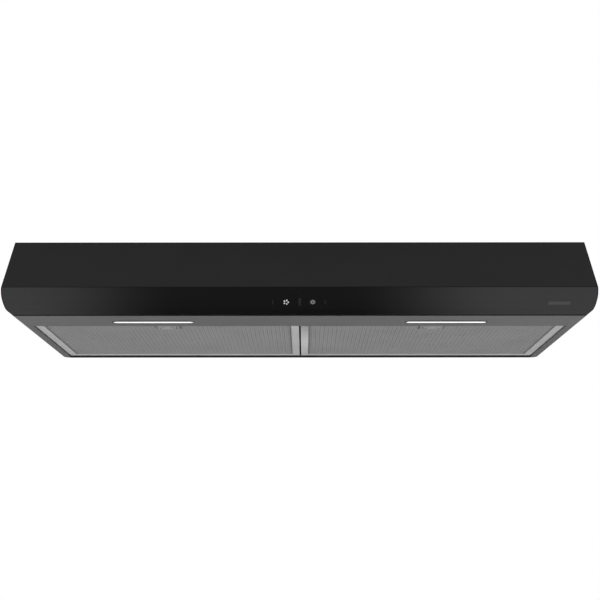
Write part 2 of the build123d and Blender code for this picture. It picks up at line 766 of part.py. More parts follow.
def motor_screws():
    """Screws through the bracket arms and bushes."""
    screws = Part()
    for angle in spokes():
        screw = upright(BRACKET_SCREW_RADIUS, BRACKET_REACH, 0, (MOTOR_TOP, SCROLL_TOP - SHEET))
        screw += upright(SCREW_HEAD_RADIUS, BRACKET_REACH, 0, (MOTOR_TOP - SCREW_HEAD_HEIGHT, MOTOR_TOP))
        screws += Rot(0, 0, angle) * screw
    return blower_frame() * screws


def motor_shaft():
    """Shaft that carries the wheel."""
    return blower_frame() * upright(SHAFT_RADIUS, 0, 0, (SHAFT_BOTTOM, SHAFT_TOP))


def blower_wheel():
    """Forward-curved wheel: dished backplate, hub, a ring of blades and a lower ring."""
    plate = (WHEEL_TOP - WHEEL_SHEET, WHEEL_TOP)
    wheel = upright(WHEEL_RADIUS, 0, 0, plate)
    wheel += upright(CUP_RADIUS + WHEEL_SHEET, 0, 0, (CUP_FLOOR, WHEEL_TOP))
    wheel -= upright(CUP_RADIUS, 0, 0, (CUP_FLOOR + WHEEL_SHEET, WHEEL_TOP))
    wheel += upright(HUB_RADIUS, 0, 0, (HUB_BOTTOM, CUP_FLOOR))
    ring = (WHEEL_BOTTOM, WHEEL_BOTTOM + LOWER_RING_HEIGHT)
    wheel += upright(WHEEL_RADIUS, 0, 0, ring) - upright(WHEEL_RADIUS - LOWER_RING_WIDTH, 0, 0, ring)
    wheel += wheel_blades()
    return blower_frame() * (wheel - upright(SHAFT_RADIUS, 0, 0, (HUB_BOTTOM, WHEEL_TOP)))


def wheel_blades():
    """Ring of curved blades between the backplate and the lower ring."""
    chord = WHEEL_RADIUS - WHEEL_EYE_RADIUS
    bend = RadiusArc((WHEEL_EYE_RADIUS, 0), (WHEEL_RADIUS - 0.5, chord * 0.45), -chord)
    section = trace(bend, WHEEL_SHEET)
    low = WHEEL_BOTTOM + LOWER_RING_HEIGHT / 2
    blade = Pos(0, 0, low) * extrude(section, WHEEL_TOP - WHEEL_SHEET / 2 - low)
    return Part() + [Rot(0, 0, 360 / BLADE_COUNT * place) * blade for place in range(BLADE_COUNT)]


def wheel_nut():
    """Hexagon nut that holds the wheel on its shaft."""
    nut = extrude(RegularPolygon(NUT_FLATS / 2, 6, major_radius=False), HUB_BOTTOM - NUT_BOTTOM)
    nut = Pos(0, 0, NUT_BOTTOM) * nut
    return blower_frame() * (nut - upright(SHAFT_RADIUS, 0, 0, (NUT_BOTTOM, HUB_BOTTOM)))


# Duct

def discharge_box():
    """Sheet box from the scroll outlet to the duct collar, open above and behind."""
    depths = (PLENUM_START, BODY_DEPTH - SHEET)
    heights = (PLENUM_BOTTOM, BODY_HEIGHT - SHEET)
    box = across(PLENUM_HALF_WIDTH, depths, heights)
    inner = (PLENUM_START + SHEET, BODY_DEPTH - SHEET)
    box -= across(PLENUM_HALF_WIDTH - SHEET, inner, (PLENUM_BOTTOM + SHEET, heights[1]))
    first, second, third = VOLUTE_RADII
    left = BLOWER_X + first * math.cos(math.radians(TONGUE_ANGLE)) + SHEET
    right = BLOWER_X + second - first + third - SHEET
    window = (SCROLL_BOTTOM, SCROLL_TOP - SHEET)
    return box - block((left, right), (PLENUM_START, PLENUM_START + SHEET), window)


def rear_duct_cover():
    """Plate that closes the rear duct port while the hood vents upwards."""
    back = (BODY_DEPTH - 2 * SHEET - REAR_COVER_GAP, BODY_DEPTH - SHEET - REAR_COVER_GAP)
    low, high = REAR_PORT_HEIGHTS
    plate = across(REAR_PORT_HALF_WIDTH + REAR_COVER_RIM, back, (low - 2.3, high + 2.5))
    grip = (low + GRIP_SLOT_HEIGHTS[0], low + GRIP_SLOT_HEIGHTS[1])
    for x in GRIP_SLOT_X:
        plate -= block((x - GRIP_SLOT_HALF_LENGTH, x + GRIP_SLOT_HALF_LENGTH), back, grip)
    return plate


def rear_cover_screws():
    """Four screws that hold the rear duct cover from inside."""
    screws = Part()
    low, high = REAR_PORT_HEIGHTS
    seat = BODY_DEPTH - 2 * SHEET - REAR_COVER_GAP
    for x in (-REAR_COVER_SCREW_X, REAR_COVER_SCREW_X):
        for z in (low + REAR_COVER_SCREW_INSET, high - REAR_COVER_SCREW_INSET):
            head = Pos(x, seat - SCREW_HEAD_HEIGHT / 2, z) * Rot(90, 0, 0)
            screws += head * Cylinder(SCREW_HEAD_RADIUS, SCREW_HEAD_HEIGHT)
    return screws


def duct_collar():
    """Rectangular duct connector with a flange, a stop lip in front and holes for the damper rod."""
    top = BODY_HEIGHT + COLLAR_RISE
    depths = (COLLAR_START, COLLAR_START + COLLAR_DEPTH)
    flange_y = (depths[0] - COLLAR_FLANGE, depths[1] + COLLAR_FLANGE)
    collar = across(COLLAR_WIDTH / 2 + COLLAR_FLANGE, flange_y, (BODY_HEIGHT, BODY_HEIGHT + SHEET))
    collar += across(COLLAR_WIDTH / 2, depths, (BODY_HEIGHT, top))
    inner = (depths[0] + SHEET, depths[1] - SHEET)
    collar -= across(COLLAR_WIDTH / 2 - SHEET, inner, (BODY_HEIGHT, top))
    lip = (inner[0], inner[0] + STOP_LIP_WIDTH)
    collar += across(COLLAR_WIDTH / 2 - SHEET, lip, (STOP_HEIGHT - SHEET, STOP_HEIGHT))
    hole = crossways(ROD_RADIUS + RUNNING_FIT, (-COLLAR_WIDTH, COLLAR_WIDTH), FLAP_AXIS_DEPTH, FLAP_HEIGHT)
    return collar - hole


def collar_screws():
    """Screws that hold the collar's flange to the top panel."""
    screws = Part()
    low = BODY_HEIGHT + SHEET
    rows = (COLLAR_START + COLLAR_SCREW_INSET, COLLAR_START + COLLAR_DEPTH - COLLAR_SCREW_INSET)
    for x in (-COLLAR_SCREW_X, COLLAR_SCREW_X):
        for y in rows:
            screws += upright(SCREW_HEAD_RADIUS, x, y, (low, low + SCREW_HEAD_HEIGHT))
    return screws


def damper_flap():
    """Backdraft flap with a rolled knuckle along its rear edge."""
    half_sheet = FLAP_SHEET / 2
    flap = across(
        FLAP_HALF_WIDTH,
        (FLAP_FRONT, FLAP_AXIS_DEPTH),
        (FLAP_HEIGHT - half_sheet, FLAP_HEIGHT + half_sheet),
    )
    width = (-FLAP_HALF_WIDTH, FLAP_HALF_WIDTH)
    flap += crossways(KNUCKLE_RADIUS, width, FLAP_AXIS_DEPTH, FLAP_HEIGHT)
    return flap - crossways(ROD_RADIUS, width, FLAP_AXIS_DEPTH, FLAP_HEIGHT)


def damper_rod():
    """Rod that turns with the flap in the collar's side walls."""
    half = COLLAR_WIDTH / 2
    return crossways(ROD_RADIUS, (-half, half), FLAP_AXIS_DEPTH, FLAP_HEIGHT)


# Filters

def filter_body(inset=0.0):
    """Right filter's outer block, moved inwards by inset in plan."""
    x = (FILTER_INNER_X + inset, FILTER_OUTER_X - inset)
    y = (FILTER_START + inset, FILTER_END - inset)
    return block(x, y, (FILTER_BOTTOM, FILTER_BOTTOM + FILTER_THICKNESS))


def latch_pocket(play=0.0):
    """Space at the front of the right filter that the latch case fills."""
    x = (LATCH_X - CASE_HALF_WIDTH - play, LATCH_X + CASE_HALF_WIDTH + play)
    y = (FILTER_START - 1, CASE_END + play)
    return block(x, y, (FILTER_BOTTOM - 1, FILTER_BOTTOM + FILTER_THICKNESS + 1))


def mesh_slab(play):
    """Space of the mesh pack inside the rails' groove."""
    x = (FILTER_INNER_X + RAIL_WALL - play, FILTER_OUTER_X - RAIL_WALL + play)
    y = (FILTER_START + RAIL_WALL - play, FILTER_END - RAIL_WALL + play)
    half = MESH_THICKNESS / 2 + play
    return block(x, y, (PIVOT_HEIGHT - half, PIVOT_HEIGHT + half))


def filter_frame():
    """Folded rails round the mesh, with open slots at the rear for the hanger pins."""
    frame = filter_body() - filter_body(RAIL_WIDTH) - mesh_slab(0) - latch_pocket()
    for x in ((FILTER_INNER_X, FILTER_INNER_X + PIN_REACH + 0.3),
              (FILTER_OUTER_X - PIN_REACH - 0.3, FILTER_OUTER_X)):
        radius = PIVOT_PIN_RADIUS + RUNNING_FIT
        slot = block(x, (PIVOT_DEPTH, FILTER_END), (PIVOT_HEIGHT - radius, PIVOT_HEIGHT + radius))
        frame -= slot + crossways(radius, x, PIVOT_DEPTH, PIVOT_HEIGHT)
    return frame


def filter_mesh():
    """Pack of expanded aluminium mesh."""
    return mesh_slab(-MESH_PLAY) - latch_pocket(MESH_PLAY)


def latch_case():
    """Housing of the right filter's latch, open below and in front, grooved for the bolt."""
    top = FILTER_BOTTOM + FILTER_THICKNESS
    x = (LATCH_X - CASE_HALF_WIDTH, LATCH_X + CASE_HALF_WIDTH)
    case = block(x, (FILTER_START, CASE_END), (FILTER_BOTTOM, top))
    inside = (FILTER_START, CASE_END - CASE_WALL)
    cavity_x = (LATCH_X - BOLT_HALF_WIDTH - BOLT_PLAY, LATCH_X + BOLT_HALF_WIDTH + BOLT_PLAY)
    case -= block(cavity_x, inside, (FILTER_BOTTOM, top - CASE_ROOF))
    reach = BOLT_HALF_WIDTH + GUIDE_REACH + GUIDE_PLAY
    groove = (BOLT_TOP - GUIDE_THICKNESS - GUIDE_PLAY, top - CASE_ROOF)
    return case - block((LATCH_X - reach, LATCH_X + reach), inside, groove)


def latch_bolt():
    """Sliding bolt: front tongue, two guides and the U-shaped finger pull."""
    x = (LATCH_X - BOLT_HALF_WIDTH, LATCH_X + BOLT_HALF_WIDTH)
    round_start = BOLT_END - BOLT_HALF_WIDTH
    heights = (BOLT_BOTTOM, BOLT_TOP)
    bolt = block(x, (BOLT_START, round_start), heights)
    bolt += upright(BOLT_HALF_WIDTH, LATCH_X, round_start, heights)
    inner = BOLT_HALF_WIDTH - BOLT_WALL
    pull = block((LATCH_X - inner, LATCH_X + inner), (BOLT_START + BOLT_WALL, round_start), heights)
    bolt -= pull + upright(inner, LATCH_X, round_start, heights)
    reach = BOLT_HALF_WIDTH + GUIDE_REACH
    guide_heights = (BOLT_TOP - GUIDE_THICKNESS, BOLT_TOP)
    guides = block((LATCH_X - reach, LATCH_X + reach), (BOLT_START, round_start), guide_heights)
    bolt += guides - block((LATCH_X - inner, LATCH_X + inner), (0, BODY_DEPTH), heights)
    tongue_x = (LATCH_X - TONGUE_HALF_WIDTH, LATCH_X + TONGUE_HALF_WIDTH)
    return bolt + block(tongue_x, (TONGUE_START, BOLT_START + BOLT_WALL), (TONGUE_BOTTOM, BOLT_TOP))


def latch_spring():
    """Zigzag leaf spring between the finger pull and the rear wall of the case."""
    margin = LEAF_SHEET / 2 + 0.1
    start = BOLT_END + margin
    step = (CASE_END - CASE_WALL - margin - start) / LEAF_TURNS
    points = [(LATCH_X, start)]
    for turn in range(1, LEAF_TURNS):
        side = 1 if turn % 2 else -1
        points.append((LATCH_X + side * LEAF_REACH, start + step * turn))
    points.append((LATCH_X, start + step * LEAF_TURNS))
    return Pos(0, 0, LEAF_BOTTOM) * extrude(trace(Polyline(*points), LEAF_SHEET), LEAF_HEIGHT)


def side_hanger():
    """Block on the right rim with the outer pin that the filter turns on."""
    inner = OPENING_HALF_WIDTH + 0.1
    hanger = block(
        (inner, BODY_WIDTH / 2 - SHEET),
        (PIVOT_DEPTH - 5, PIVOT_DEPTH + 4),
        (SHEET, FILTER_BOTTOM + FILTER_THICKNESS + 1),
    )
    pin = (FILTER_OUTER_X - PIN_REACH, inner)
    return hanger + crossways(PIVOT_PIN_RADIUS, pin, PIVOT_DEPTH, PIVOT_HEIGHT)


def centre_hanger():
    """Thin plate between the filters with a pin that both filters turn on."""
    top = FILTER_BOTTOM + FILTER_THICKNESS + 8
    plate = across(0.6, (PIVOT_DEPTH - 4, PIVOT_DEPTH + 6), (FILTER_BOTTOM + 1, top))
    plate += across(7.5, (PIVOT_DEPTH - 4, PIVOT_DEPTH + 6), (top - SHEET, top))
    reach = FILTER_INNER_X + PIN_REACH
    return plate + crossways(PIVOT_PIN_RADIUS, (-reach, reach), PIVOT_DEPTH, PIVOT_HEIGHT)


SINGLE_PARTS = {
    "front_fascia": front_fascia,
    "control_band": control_band,
    "band_backing": band_backing,
    "top_panel": top_panel,
    "back_panel": back_panel,
    "underside_frame": underside_frame,
    "front_baffle": front_baffle,
    "centre_rail": centre_rail,
    "centre_hanger": centre_hanger,
    "light_driver": light_driver,
    "key_light_guides": key_light_guides,
    "touch_board": touch_board,
    "power_box": power_box,
    "power_box_cover": power_box_cover,
    "power_board": power_board,
    "fan_capacitor": fan_capacitor,
    "wiring_box": wiring_box,
    "wiring_box_cover": wiring_box_cover,
    "terminal_block": terminal_block,
    "harness_supply": harness_supply,
    "harness_motor": harness_motor,
    "harness_control": harness_control,
    "baffle_grommets": baffle_grommets,
    "scroll_housing": scroll_housing,
    "scroll_floor": scroll_floor,
    "inlet_ring": inlet_ring,
    "motor_bracket": motor_bracket,
    "motor": motor,
    "motor_isolators": motor_isolators,
    "motor_screws": motor_screws,
    "motor_shaft": motor_shaft,
    "blower_wheel": blower_wheel,
    "wheel_nut": wheel_nut,
    "discharge_box": discharge_box,
    "rear_duct_cover": rear_duct_cover,
    "rear_cover_screws": rear_cover_screws,
    "duct_collar": duct_collar,
    "collar_screws": collar_screws,
    "damper_flap": damper_flap,
    "damper_rod": damper_rod,
}

PAIRED_PARTS = {
    "side_panel": side_panel,
    "side_hanger": side_hanger,
    "light_lens": light_lens,
    "light_tray": light_tray,
    "light_board": light_board,
    "filter_frame": filter_frame,
    "filter_mesh": filter_mesh,
    "latch_case": latch_case,
    "latch_bolt": latch_bolt,
    "latch_spring": latch_spring,
}

os.makedirs("parts", exist_ok=True)
for part_name, build_part in SINGLE_PARTS.items():
    save(part_name, build_part())
for part_name, build_part in PAIRED_PARTS.items():
    save_pair(part_name, build_part())
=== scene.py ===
"""Looks of a slim under cabinet range hood: shell, touch band, light bars, mesh filters and insides.

Sizes are millimetres in hood coordinates: X to the right, Y the depth behind the nose, Z the height
above the underside. Hood.at() turns them into the frame's metres.
"""

import json
import logging
import math
from collections.abc import Callable, Iterable, Iterator
from contextlib import contextmanager
from dataclasses import dataclass, field
from enum import Enum

import bmesh
import bpy
from mathutils import Matrix, Vector

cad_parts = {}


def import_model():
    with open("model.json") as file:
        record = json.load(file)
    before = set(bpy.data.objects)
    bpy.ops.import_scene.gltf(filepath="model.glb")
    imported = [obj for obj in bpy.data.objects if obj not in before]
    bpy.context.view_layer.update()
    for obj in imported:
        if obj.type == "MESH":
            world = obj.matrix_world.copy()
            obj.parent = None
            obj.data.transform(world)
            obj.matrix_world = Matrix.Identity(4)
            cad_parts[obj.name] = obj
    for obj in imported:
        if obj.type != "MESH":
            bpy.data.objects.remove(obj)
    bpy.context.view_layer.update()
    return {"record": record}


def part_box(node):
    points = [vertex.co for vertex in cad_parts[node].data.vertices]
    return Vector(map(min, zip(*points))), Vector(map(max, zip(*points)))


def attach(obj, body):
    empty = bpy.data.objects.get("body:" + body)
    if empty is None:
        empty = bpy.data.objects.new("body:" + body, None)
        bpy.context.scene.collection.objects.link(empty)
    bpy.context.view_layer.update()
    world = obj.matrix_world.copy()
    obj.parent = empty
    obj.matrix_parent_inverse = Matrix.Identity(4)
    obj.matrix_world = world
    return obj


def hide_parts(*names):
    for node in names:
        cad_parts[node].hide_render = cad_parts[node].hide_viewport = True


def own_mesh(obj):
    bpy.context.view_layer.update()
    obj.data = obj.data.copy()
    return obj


MM = 0.001
CLOSE = 1e-6
X_AXIS = Vector((1, 0, 0))
Y_AXIS = Vector((0, 1, 0))
Z_AXIS = Vector((0, 0, 1))
LOG = logging.getLogger("range_hood")
Triple = tuple[float, float, float]
Span = tuple[float, float]
Piece = bpy.types.Object
Socket = bpy.types.NodeSocket


class Side(Enum):
    """Left or right half of the hood, with the sign of its X."""

    LEFT = -1
    RIGHT = 1

    @property
    def label(self) -> str:
        """Word used in node, body and piece names."""
        return self.name.lower()

    def span(self, first: float, second: float) -> Span:
        """X span between two distances from the middle plane, on this side."""
        return tuple(sorted((self.value * first, self.value * second)))


# ---------------------------------------------------------------- finishes


class Graph:
    """Shader nodes of one material or of the world."""

    def __init__(self, owner: bpy.types.Material | bpy.types.World) -> None:
        """Switch on the nodes of a material or a world.

        Args:
            owner: the material or world.
        """
        owner.use_nodes = True
        self.nodes = owner.node_tree.nodes
        self.links = owner.node_tree.links

    def feed(self, node: bpy.types.Node, inputs: dict) -> None:
        """Give a node's inputs their numbers, or the sockets that drive them.

        Args:
            node: the node.
            inputs: numbers, colours or sockets, by the input's name or place.
        """
        for key, value in inputs.items():
            if isinstance(value, Socket):
                self.links.new(value, node.inputs[key])
            else:
                node.inputs[key].default_value = value

    def add(self, kind: str, inputs: dict | None = None, **settings) -> bpy.types.Node:
        """Make one node.

        Args:
            kind: type of the node, without its prefix.
            inputs: numbers, colours or sockets, by the input's name or place.
            **settings: values of the node's own properties.

        Returns:
            The node.
        """
        node = self.nodes.new(f"ShaderNode{kind}")
        for key, value in settings.items():
            setattr(node, key, value)
        self.feed(node, inputs or {})
        return node

    def sum(self, operation: str, first: Socket, second: Socket | float) -> Socket:
        """One step of arithmetic."""
        return self.add("Math", {0: first, 1: second}, operation=operation).outputs[0]

    def ramp(self, value: Socket, span: Span, levels: Span, curve: str = "LINEAR") -> Socket:
        """Change from one level to another while a value crosses a span.

        Args:
            value: what drives the change.
            span: where it starts and ends.
            levels: result at the span's start and at its end.
            curve: how the level moves between them.

        Returns:
            The socket of the level.
        """
        inputs = {"Value": value, "From Min": span[0], "From Max": span[1]}
        inputs |= {"To Min": levels[0], "To Max": levels[1]}
        return self.add("MapRange", inputs, interpolation_type=curve).outputs["Result"]


@dataclass(frozen=True)
class Finish:
    """One surface finish with fine grain, slow tone drift and a slightly uneven sheen.

    Sizes are in millimetres. Spreads are shares of the value they vary.
    """

    name: str
    colour: Triple
    roughness: float
    metallic: float = 0.0
    colour_spread: float = 0.10
    roughness_spread: float = 0.12
    grain: float = 1.1
    grain_depth: float = 0.012
    grain_relief: float = 0.6
    grain_detail: float = 3.0
    grain_share: float = 0.35
    noise_roughness: float = 0.55
    brushed: Triple = (1.0, 1.0, 1.0)
    drift: float = 70.0
    drift_detail: float = 4.0
    tone_span: Span = (0.3, 0.7)
    sheen_span: Span = (0.6, 1.4)
    specular: float = 0.5
    edge_wear: float = 0.0
    edge_span: Span = (0.53, 0.62)
    bare_metal: Triple = (0.35, 0.35, 0.35)
    emission: float = 0.0

    def make(self) -> bpy.types.Material:
        """Build the material once and return it, or return the one already built."""
        title = f"{self.name}_finish"
        known = bpy.data.materials.get(title)
        if known:
            return known
        material = bpy.data.materials.new(title)
        graph = Graph(material)
        place = graph.add("TexCoord").outputs["Object"]
        along = graph.add("Mapping", {"Vector": place, "Scale": self.brushed}).outputs["Vector"]
        fine = self.noise(graph, along, self.grain, self.grain_detail)
        slow = self.noise(graph, place, self.drift, self.drift_detail)
        relief = {"Height": fine, "Strength": self.grain_relief, "Distance": self.grain_depth * MM}
        shader = graph.nodes["Principled BSDF"]
        graph.feed(shader, {
            "Base Color": self.tone(graph, fine, slow),
            "Metallic": self.metallic,
            "Roughness": self.sheen(graph, fine, slow),
            "Specular IOR Level": self.specular,
            "Normal": graph.add("Bump", relief).outputs["Normal"],
        })
        if self.emission:
            glow = (*self.colour, 1.0)
            graph.feed(shader, {"Emission Color": glow, "Emission Strength": self.emission})
        return material

    def noise(self, graph: Graph, place: Socket, size: float, detail: float) -> Socket:
        """Noise whose lumps are about size millimetres across.

        Args:
            graph: the material's nodes.
            place: socket that gives the place.
            size: width of a lump.
            detail: octaves of smaller lumps.

        Returns:
            The socket of its grey value.
        """
        inputs = {"Vector": place, "Scale": 1.0 / (size * MM), "Detail": detail}
        inputs |= {"Roughness": self.noise_roughness}
        return graph.add("TexNoise", inputs).outputs["Fac"]

    def tone(self, graph: Graph, fine: Socket, slow: Socket) -> Socket:
        """Colour that drifts slowly, speckles finely and pales where edges are rubbed.

        Args:
            graph: the material's nodes.
            fine: the grain.
            slow: the drift.

        Returns:
            The socket of the colour.
        """
        drift = graph.sum("MULTIPLY", slow, 1.0 - self.grain_share)
        both = graph.add("Math", {0: fine, 1: self.grain_share, 2: drift}, operation="MULTIPLY_ADD")
        ramp = graph.add("ValToRGB", {"Fac": both.outputs[0]})
        spreads = (-self.colour_spread, self.colour_spread)
        for element, position, spread in zip(ramp.color_ramp.elements, self.tone_span, spreads):
            element.position = position
            element.color = (*(min(1.0, channel * (1.0 + spread)) for channel in self.colour), 1.0)
        colour = ramp.outputs["Color"]
        if not self.edge_wear:
            return colour
        pointiness = graph.add("NewGeometry").outputs["Pointiness"]
        edges = graph.ramp(pointiness, self.edge_span, (0.0, self.edge_wear))
        inputs = {"Factor": edges, "A": colour, "B": (*self.bare_metal, 1.0)}
        return graph.add("Mix", inputs, data_type="RGBA").outputs["Result"]

    def sheen(self, graph: Graph, fine: Socket, slow: Socket) -> Socket:
        """Roughness that varies with both the slow drift and the grain.

        Args:
            graph: the material's nodes.
            fine: the grain.
            slow: the drift.

        Returns:
            The socket of the roughness.
        """
        low = self.roughness * (1.0 - self.roughness_spread)
        high = min(1.0, self.roughness * (1.0 + self.roughness_spread))
        return graph.ramp(graph.sum("ADD", fine, slow), self.sheen_span, (low, high))


FINISHES = {finish.name: finish for finish in (
    Finish("satin_black", (0.0075, 0.0075, 0.0077), 0.42, grain=0.9, colour_spread=0.06, specular=0.2,
           edge_wear=0.05),
    # Darker and less shiny than satin_black: painted shade, so the side sheets' thin edges read as a
    # dark line.
    Finish("side_shade_black", (0.004, 0.004, 0.0042), 0.45, grain=0.9, colour_spread=0.06, specular=0.12),
    Finish("gloss_black", (0.0015, 0.0015, 0.0016), 0.05, grain=6.0, grain_depth=0.001,
           colour_spread=0.05, drift=120.0),
    Finish("grey_paint", (0.164, 0.164, 0.165), 0.45, grain=0.8, grain_depth=0.015, colour_spread=0.05),
    Finish("black_backing", (0.006, 0.006, 0.006), 0.7, grain=0.7, grain_depth=0.03),
    Finish("galvanised", (0.42, 0.43, 0.44), 0.38, 0.9, 0.14, 0.25, grain=9.0, grain_depth=0.006,
           drift=30.0),
    Finish("filter_rail", (0.56, 0.56, 0.56), 0.55, 0.05, 0.06, 0.2, grain=0.5, grain_depth=0.01,
           brushed=(1.0, 0.05, 1.0)),
    Finish("filter_mesh", (0.26, 0.26, 0.26), 0.45, 0.4, 0.08, 0.2, grain=1.4, grain_depth=0.02),
    Finish("filter_core", (0.275, 0.275, 0.275), 0.6, 0.1, 0.12, 0.2, grain=1.7, grain_depth=0.3),
    Finish("latch_shell", (0.34, 0.34, 0.34), 0.45, 0.1, 0.05, 0.2, grain=0.6, grain_depth=0.01),
    Finish("latch_metal", (0.5, 0.5, 0.5), 0.4, 0.3, 0.05, 0.2, grain=0.5, grain_depth=0.01),
    Finish("spring_steel", (0.55, 0.55, 0.57), 0.25, 1.0, 0.06, 0.2, grain=0.6),
    Finish("light_lens", (0.9, 0.9, 0.9), 0.3, colour_spread=0.02, grain=1.5, grain_depth=0.01,
           emission=0.62),
    Finish("tray_white", (0.78, 0.78, 0.77), 0.4, grain=0.8, grain_depth=0.015),
    Finish("circuit_board", (0.02, 0.11, 0.045), 0.35, grain=1.6, grain_depth=0.03, colour_spread=0.35,
           drift=9.0),
    Finish("clear_guide", (0.75, 0.78, 0.82), 0.12, grain=2.0, grain_depth=0.005),
    Finish("driver_case", (0.68, 0.68, 0.66), 0.5, grain=0.6, grain_depth=0.03),
    Finish("component_black", (0.015, 0.015, 0.016), 0.45, grain=0.6),
    Finish("capacitor_can", (0.8, 0.8, 0.78), 0.35, grain=1.0),
    Finish("terminal_plastic", (0.7, 0.67, 0.6), 0.45, grain=0.7),
    Finish("cable_grey", (0.09, 0.09, 0.095), 0.55, grain=0.8, grain_depth=0.03),
    Finish("rubber_black", (0.012, 0.012, 0.012), 0.75, grain=0.5, grain_depth=0.03),
    Finish("gasket_grey", (0.055, 0.055, 0.056), 0.6, grain=0.5, grain_depth=0.03),
    Finish("motor_can", (0.04, 0.04, 0.045), 0.4, grain=0.9, grain_depth=0.02),
    Finish("shaft_steel", (0.55, 0.55, 0.56), 0.22, 1.0, grain=0.4, brushed=(0.05, 1.0, 1.0)),
    Finish("wheel_plastic", (0.045, 0.045, 0.05), 0.5, grain=0.7, grain_depth=0.02),
    Finish("zinc_screw", (0.58, 0.57, 0.52), 0.3, 1.0, grain=0.5, grain_depth=0.01),
    Finish("key_light", (0.45, 0.45, 0.46), 0.4, emission=0.3, grain=0.8),
    Finish("key_glow", (0.22, 0.22, 0.225), 0.4, emission=0.3, grain=0.8),
    Finish("key_unlit", (0.006, 0.006, 0.0062), 0.3, grain=0.8, grain_depth=0.005),
    # Near black and barely shiny: painted shadow for the gap between the touch band and the light strip.
    Finish("gap_shadow_black", (0.001, 0.001, 0.001), 0.3, grain=0.8, grain_depth=0.005, specular=0.05),
    Finish("badge_grey", (0.038, 0.038, 0.0385), 0.35, grain=0.8, grain_depth=0.005),
    Finish("stage_floor", (0.80, 0.80, 0.80), 0.8, grain=4.0, grain_depth=0.05, colour_spread=0.01),
)}


# ---------------------------------------------------------------- bench


class Bench:
    """Modelling steps that every sub-assembly shares."""

    @staticmethod
    def clear() -> None:
        """Leave nothing selected."""
        bpy.ops.object.select_all(action="DESELECT")

    @staticmethod
    def only(piece: Piece) -> None:
        """Select one object and make it active.

        Args:
            piece: the object.
        """
        Bench.clear()
        piece.select_set(True)
        bpy.context.view_layer.objects.active = piece

    @staticmethod
    @contextmanager
    def editing(piece: Piece, elements: str = "") -> Iterator[None]:
        """Edit mode on one piece, for the steps of a with block.

        Args:
            piece: the object to edit.
            elements: what is picked, VERT or EDGE, where the steps depend on it.

        Yields:
            Nothing.
        """
        Bench.only(piece)
        bpy.ops.object.mode_set(mode="EDIT")
        if elements:
            bpy.ops.mesh.select_mode(type=elements)
        yield
        bpy.ops.object.mode_set(mode="OBJECT")

    @staticmethod
    def settle(piece: Piece, name: str) -> Piece:
        """Name a new object and put its place and size into its mesh.

        Args:
            piece: the new object.
            name: its name.

        Returns:
            The same object.
        """
        piece.name = name
        piece.data.name = name
        Bench.only(piece)
        bpy.ops.object.transform_apply(location=True, rotation=True, scale=True)
        return piece

    @staticmethod
    def block(name: str, low: Vector, high: Vector) -> Piece:
        """Box between two corners in metres.

        Args:
            name: the piece's name.
            low: corner with the least X, Y and Z.
            high: opposite corner.

        Returns:
            The box.
        """
        Bench.clear()
        bpy.ops.mesh.primitive_cube_add(size=1.0, location=(low + high) / 2, scale=high - low)
        return Bench.settle(bpy.context.object, name)

    @staticmethod
    def bar(name: str, radius: float, start: Vector, end: Vector, sides: int = 32) -> Piece:
        """Round bar between two points.

        Args:
            name: the piece's name.
            radius: in millimetres.
            start: centre of one end.
            end: centre of the other end.
            sides: flats round the bar.

        Returns:
            The bar.
        """
        Bench.clear()
        run = end - start
        turn = run.to_track_quat("Z", "Y").to_euler()
        bpy.ops.mesh.primitive_cylinder_add(
            vertices=sides, radius=radius * MM, depth=run.length,
            location=(start + end) / 2, rotation=turn,
        )
        return Bench.settle(bpy.context.object, name)

    @staticmethod
    def tile(name: str, low: Vector, high: Vector, columns: int = 1, rows: int = 1) -> Piece:
        """Flat level grid between two corners.

        Args:
            name: the piece's name.
            low: corner with the least X and Y, at the tile's height.
            high: opposite corner.
            columns: cells along X.
            rows: cells along Y.

        Returns:
            The grid.
        """
        Bench.clear()
        bpy.ops.mesh.primitive_grid_add(
            x_subdivisions=columns, y_subdivisions=rows, size=1.0, location=(low + high) / 2
        )
        piece = bpy.context.object
        piece.scale = (high.x - low.x, high.y - low.y, 1.0)
        return Bench.settle(piece, name)

    @staticmethod
    def apply(piece: Piece, kind: str, **settings) -> Piece:
        """Add a modifier, set it and apply it.

        Args:
            piece: the object to work on.
            kind: Blender's modifier type.
            **settings: values of the modifier's properties.

        Returns:
            The same object.
        """
        Bench.only(piece)
        modifier = piece.modifiers.new(kind.title(), kind)
        for key, value in settings.items():
            setattr(modifier, key, value)
        bpy.ops.object.modifier_apply(modifier=modifier.name)
        return piece

    @staticmethod
    def cut(piece: Piece, *tools: Piece) -> Piece:
        """Cut tools out of a piece and throw the tools away."""
        return Bench.combine(piece, "DIFFERENCE", tools)

    @staticmethod
    def weld(piece: Piece, *others: Piece) -> Piece:
        """Fuse other solids to a piece."""
        return Bench.combine(piece, "UNION", others)

    @staticmethod
    def combine(piece: Piece, operation: str, tools: Iterable[Piece]) -> Piece:
        """Apply one boolean for each tool, in order.

        Args:
            piece: the object to work on.
            operation: DIFFERENCE or UNION.
            tools: solids that are used up.

        Returns:
            The same object.
        """
        for tool in tools:
            Bench.apply(piece, "BOOLEAN", object=tool, operation=operation, solver="EXACT")
            bpy.data.objects.remove(tool)
        return piece

    @staticmethod
    def soften(piece: Piece, radius: float, segments: int = 2, angle: float = 28.0) -> Piece:
        """Round the sharp edges and shade the rest smooth.

        Args:
            piece: the object to work on.
            radius: in millimetres.
            segments: steps across each rounded edge.
            angle: edges sharper than this many degrees are rounded.

        Returns:
            The same object.
        """
        Bench.apply(
            piece, "BEVEL", width=radius * MM, segments=segments, limit_method="ANGLE",
            angle_limit=math.radians(angle), use_clamp_overlap=True, harden_normals=False,
        )
        return Bench.shade(piece)

    @staticmethod
    def smooth(piece: Piece, angle: float = 35.0) -> Piece:
        """Shade a piece smooth wherever its faces meet at less than an angle.

        Args:
            piece: the object to work on.
            angle: in degrees.

        Returns:
            The same object.
        """
        Bench.only(piece)
        bpy.ops.object.shade_smooth_by_angle(angle=math.radians(angle))
        return piece

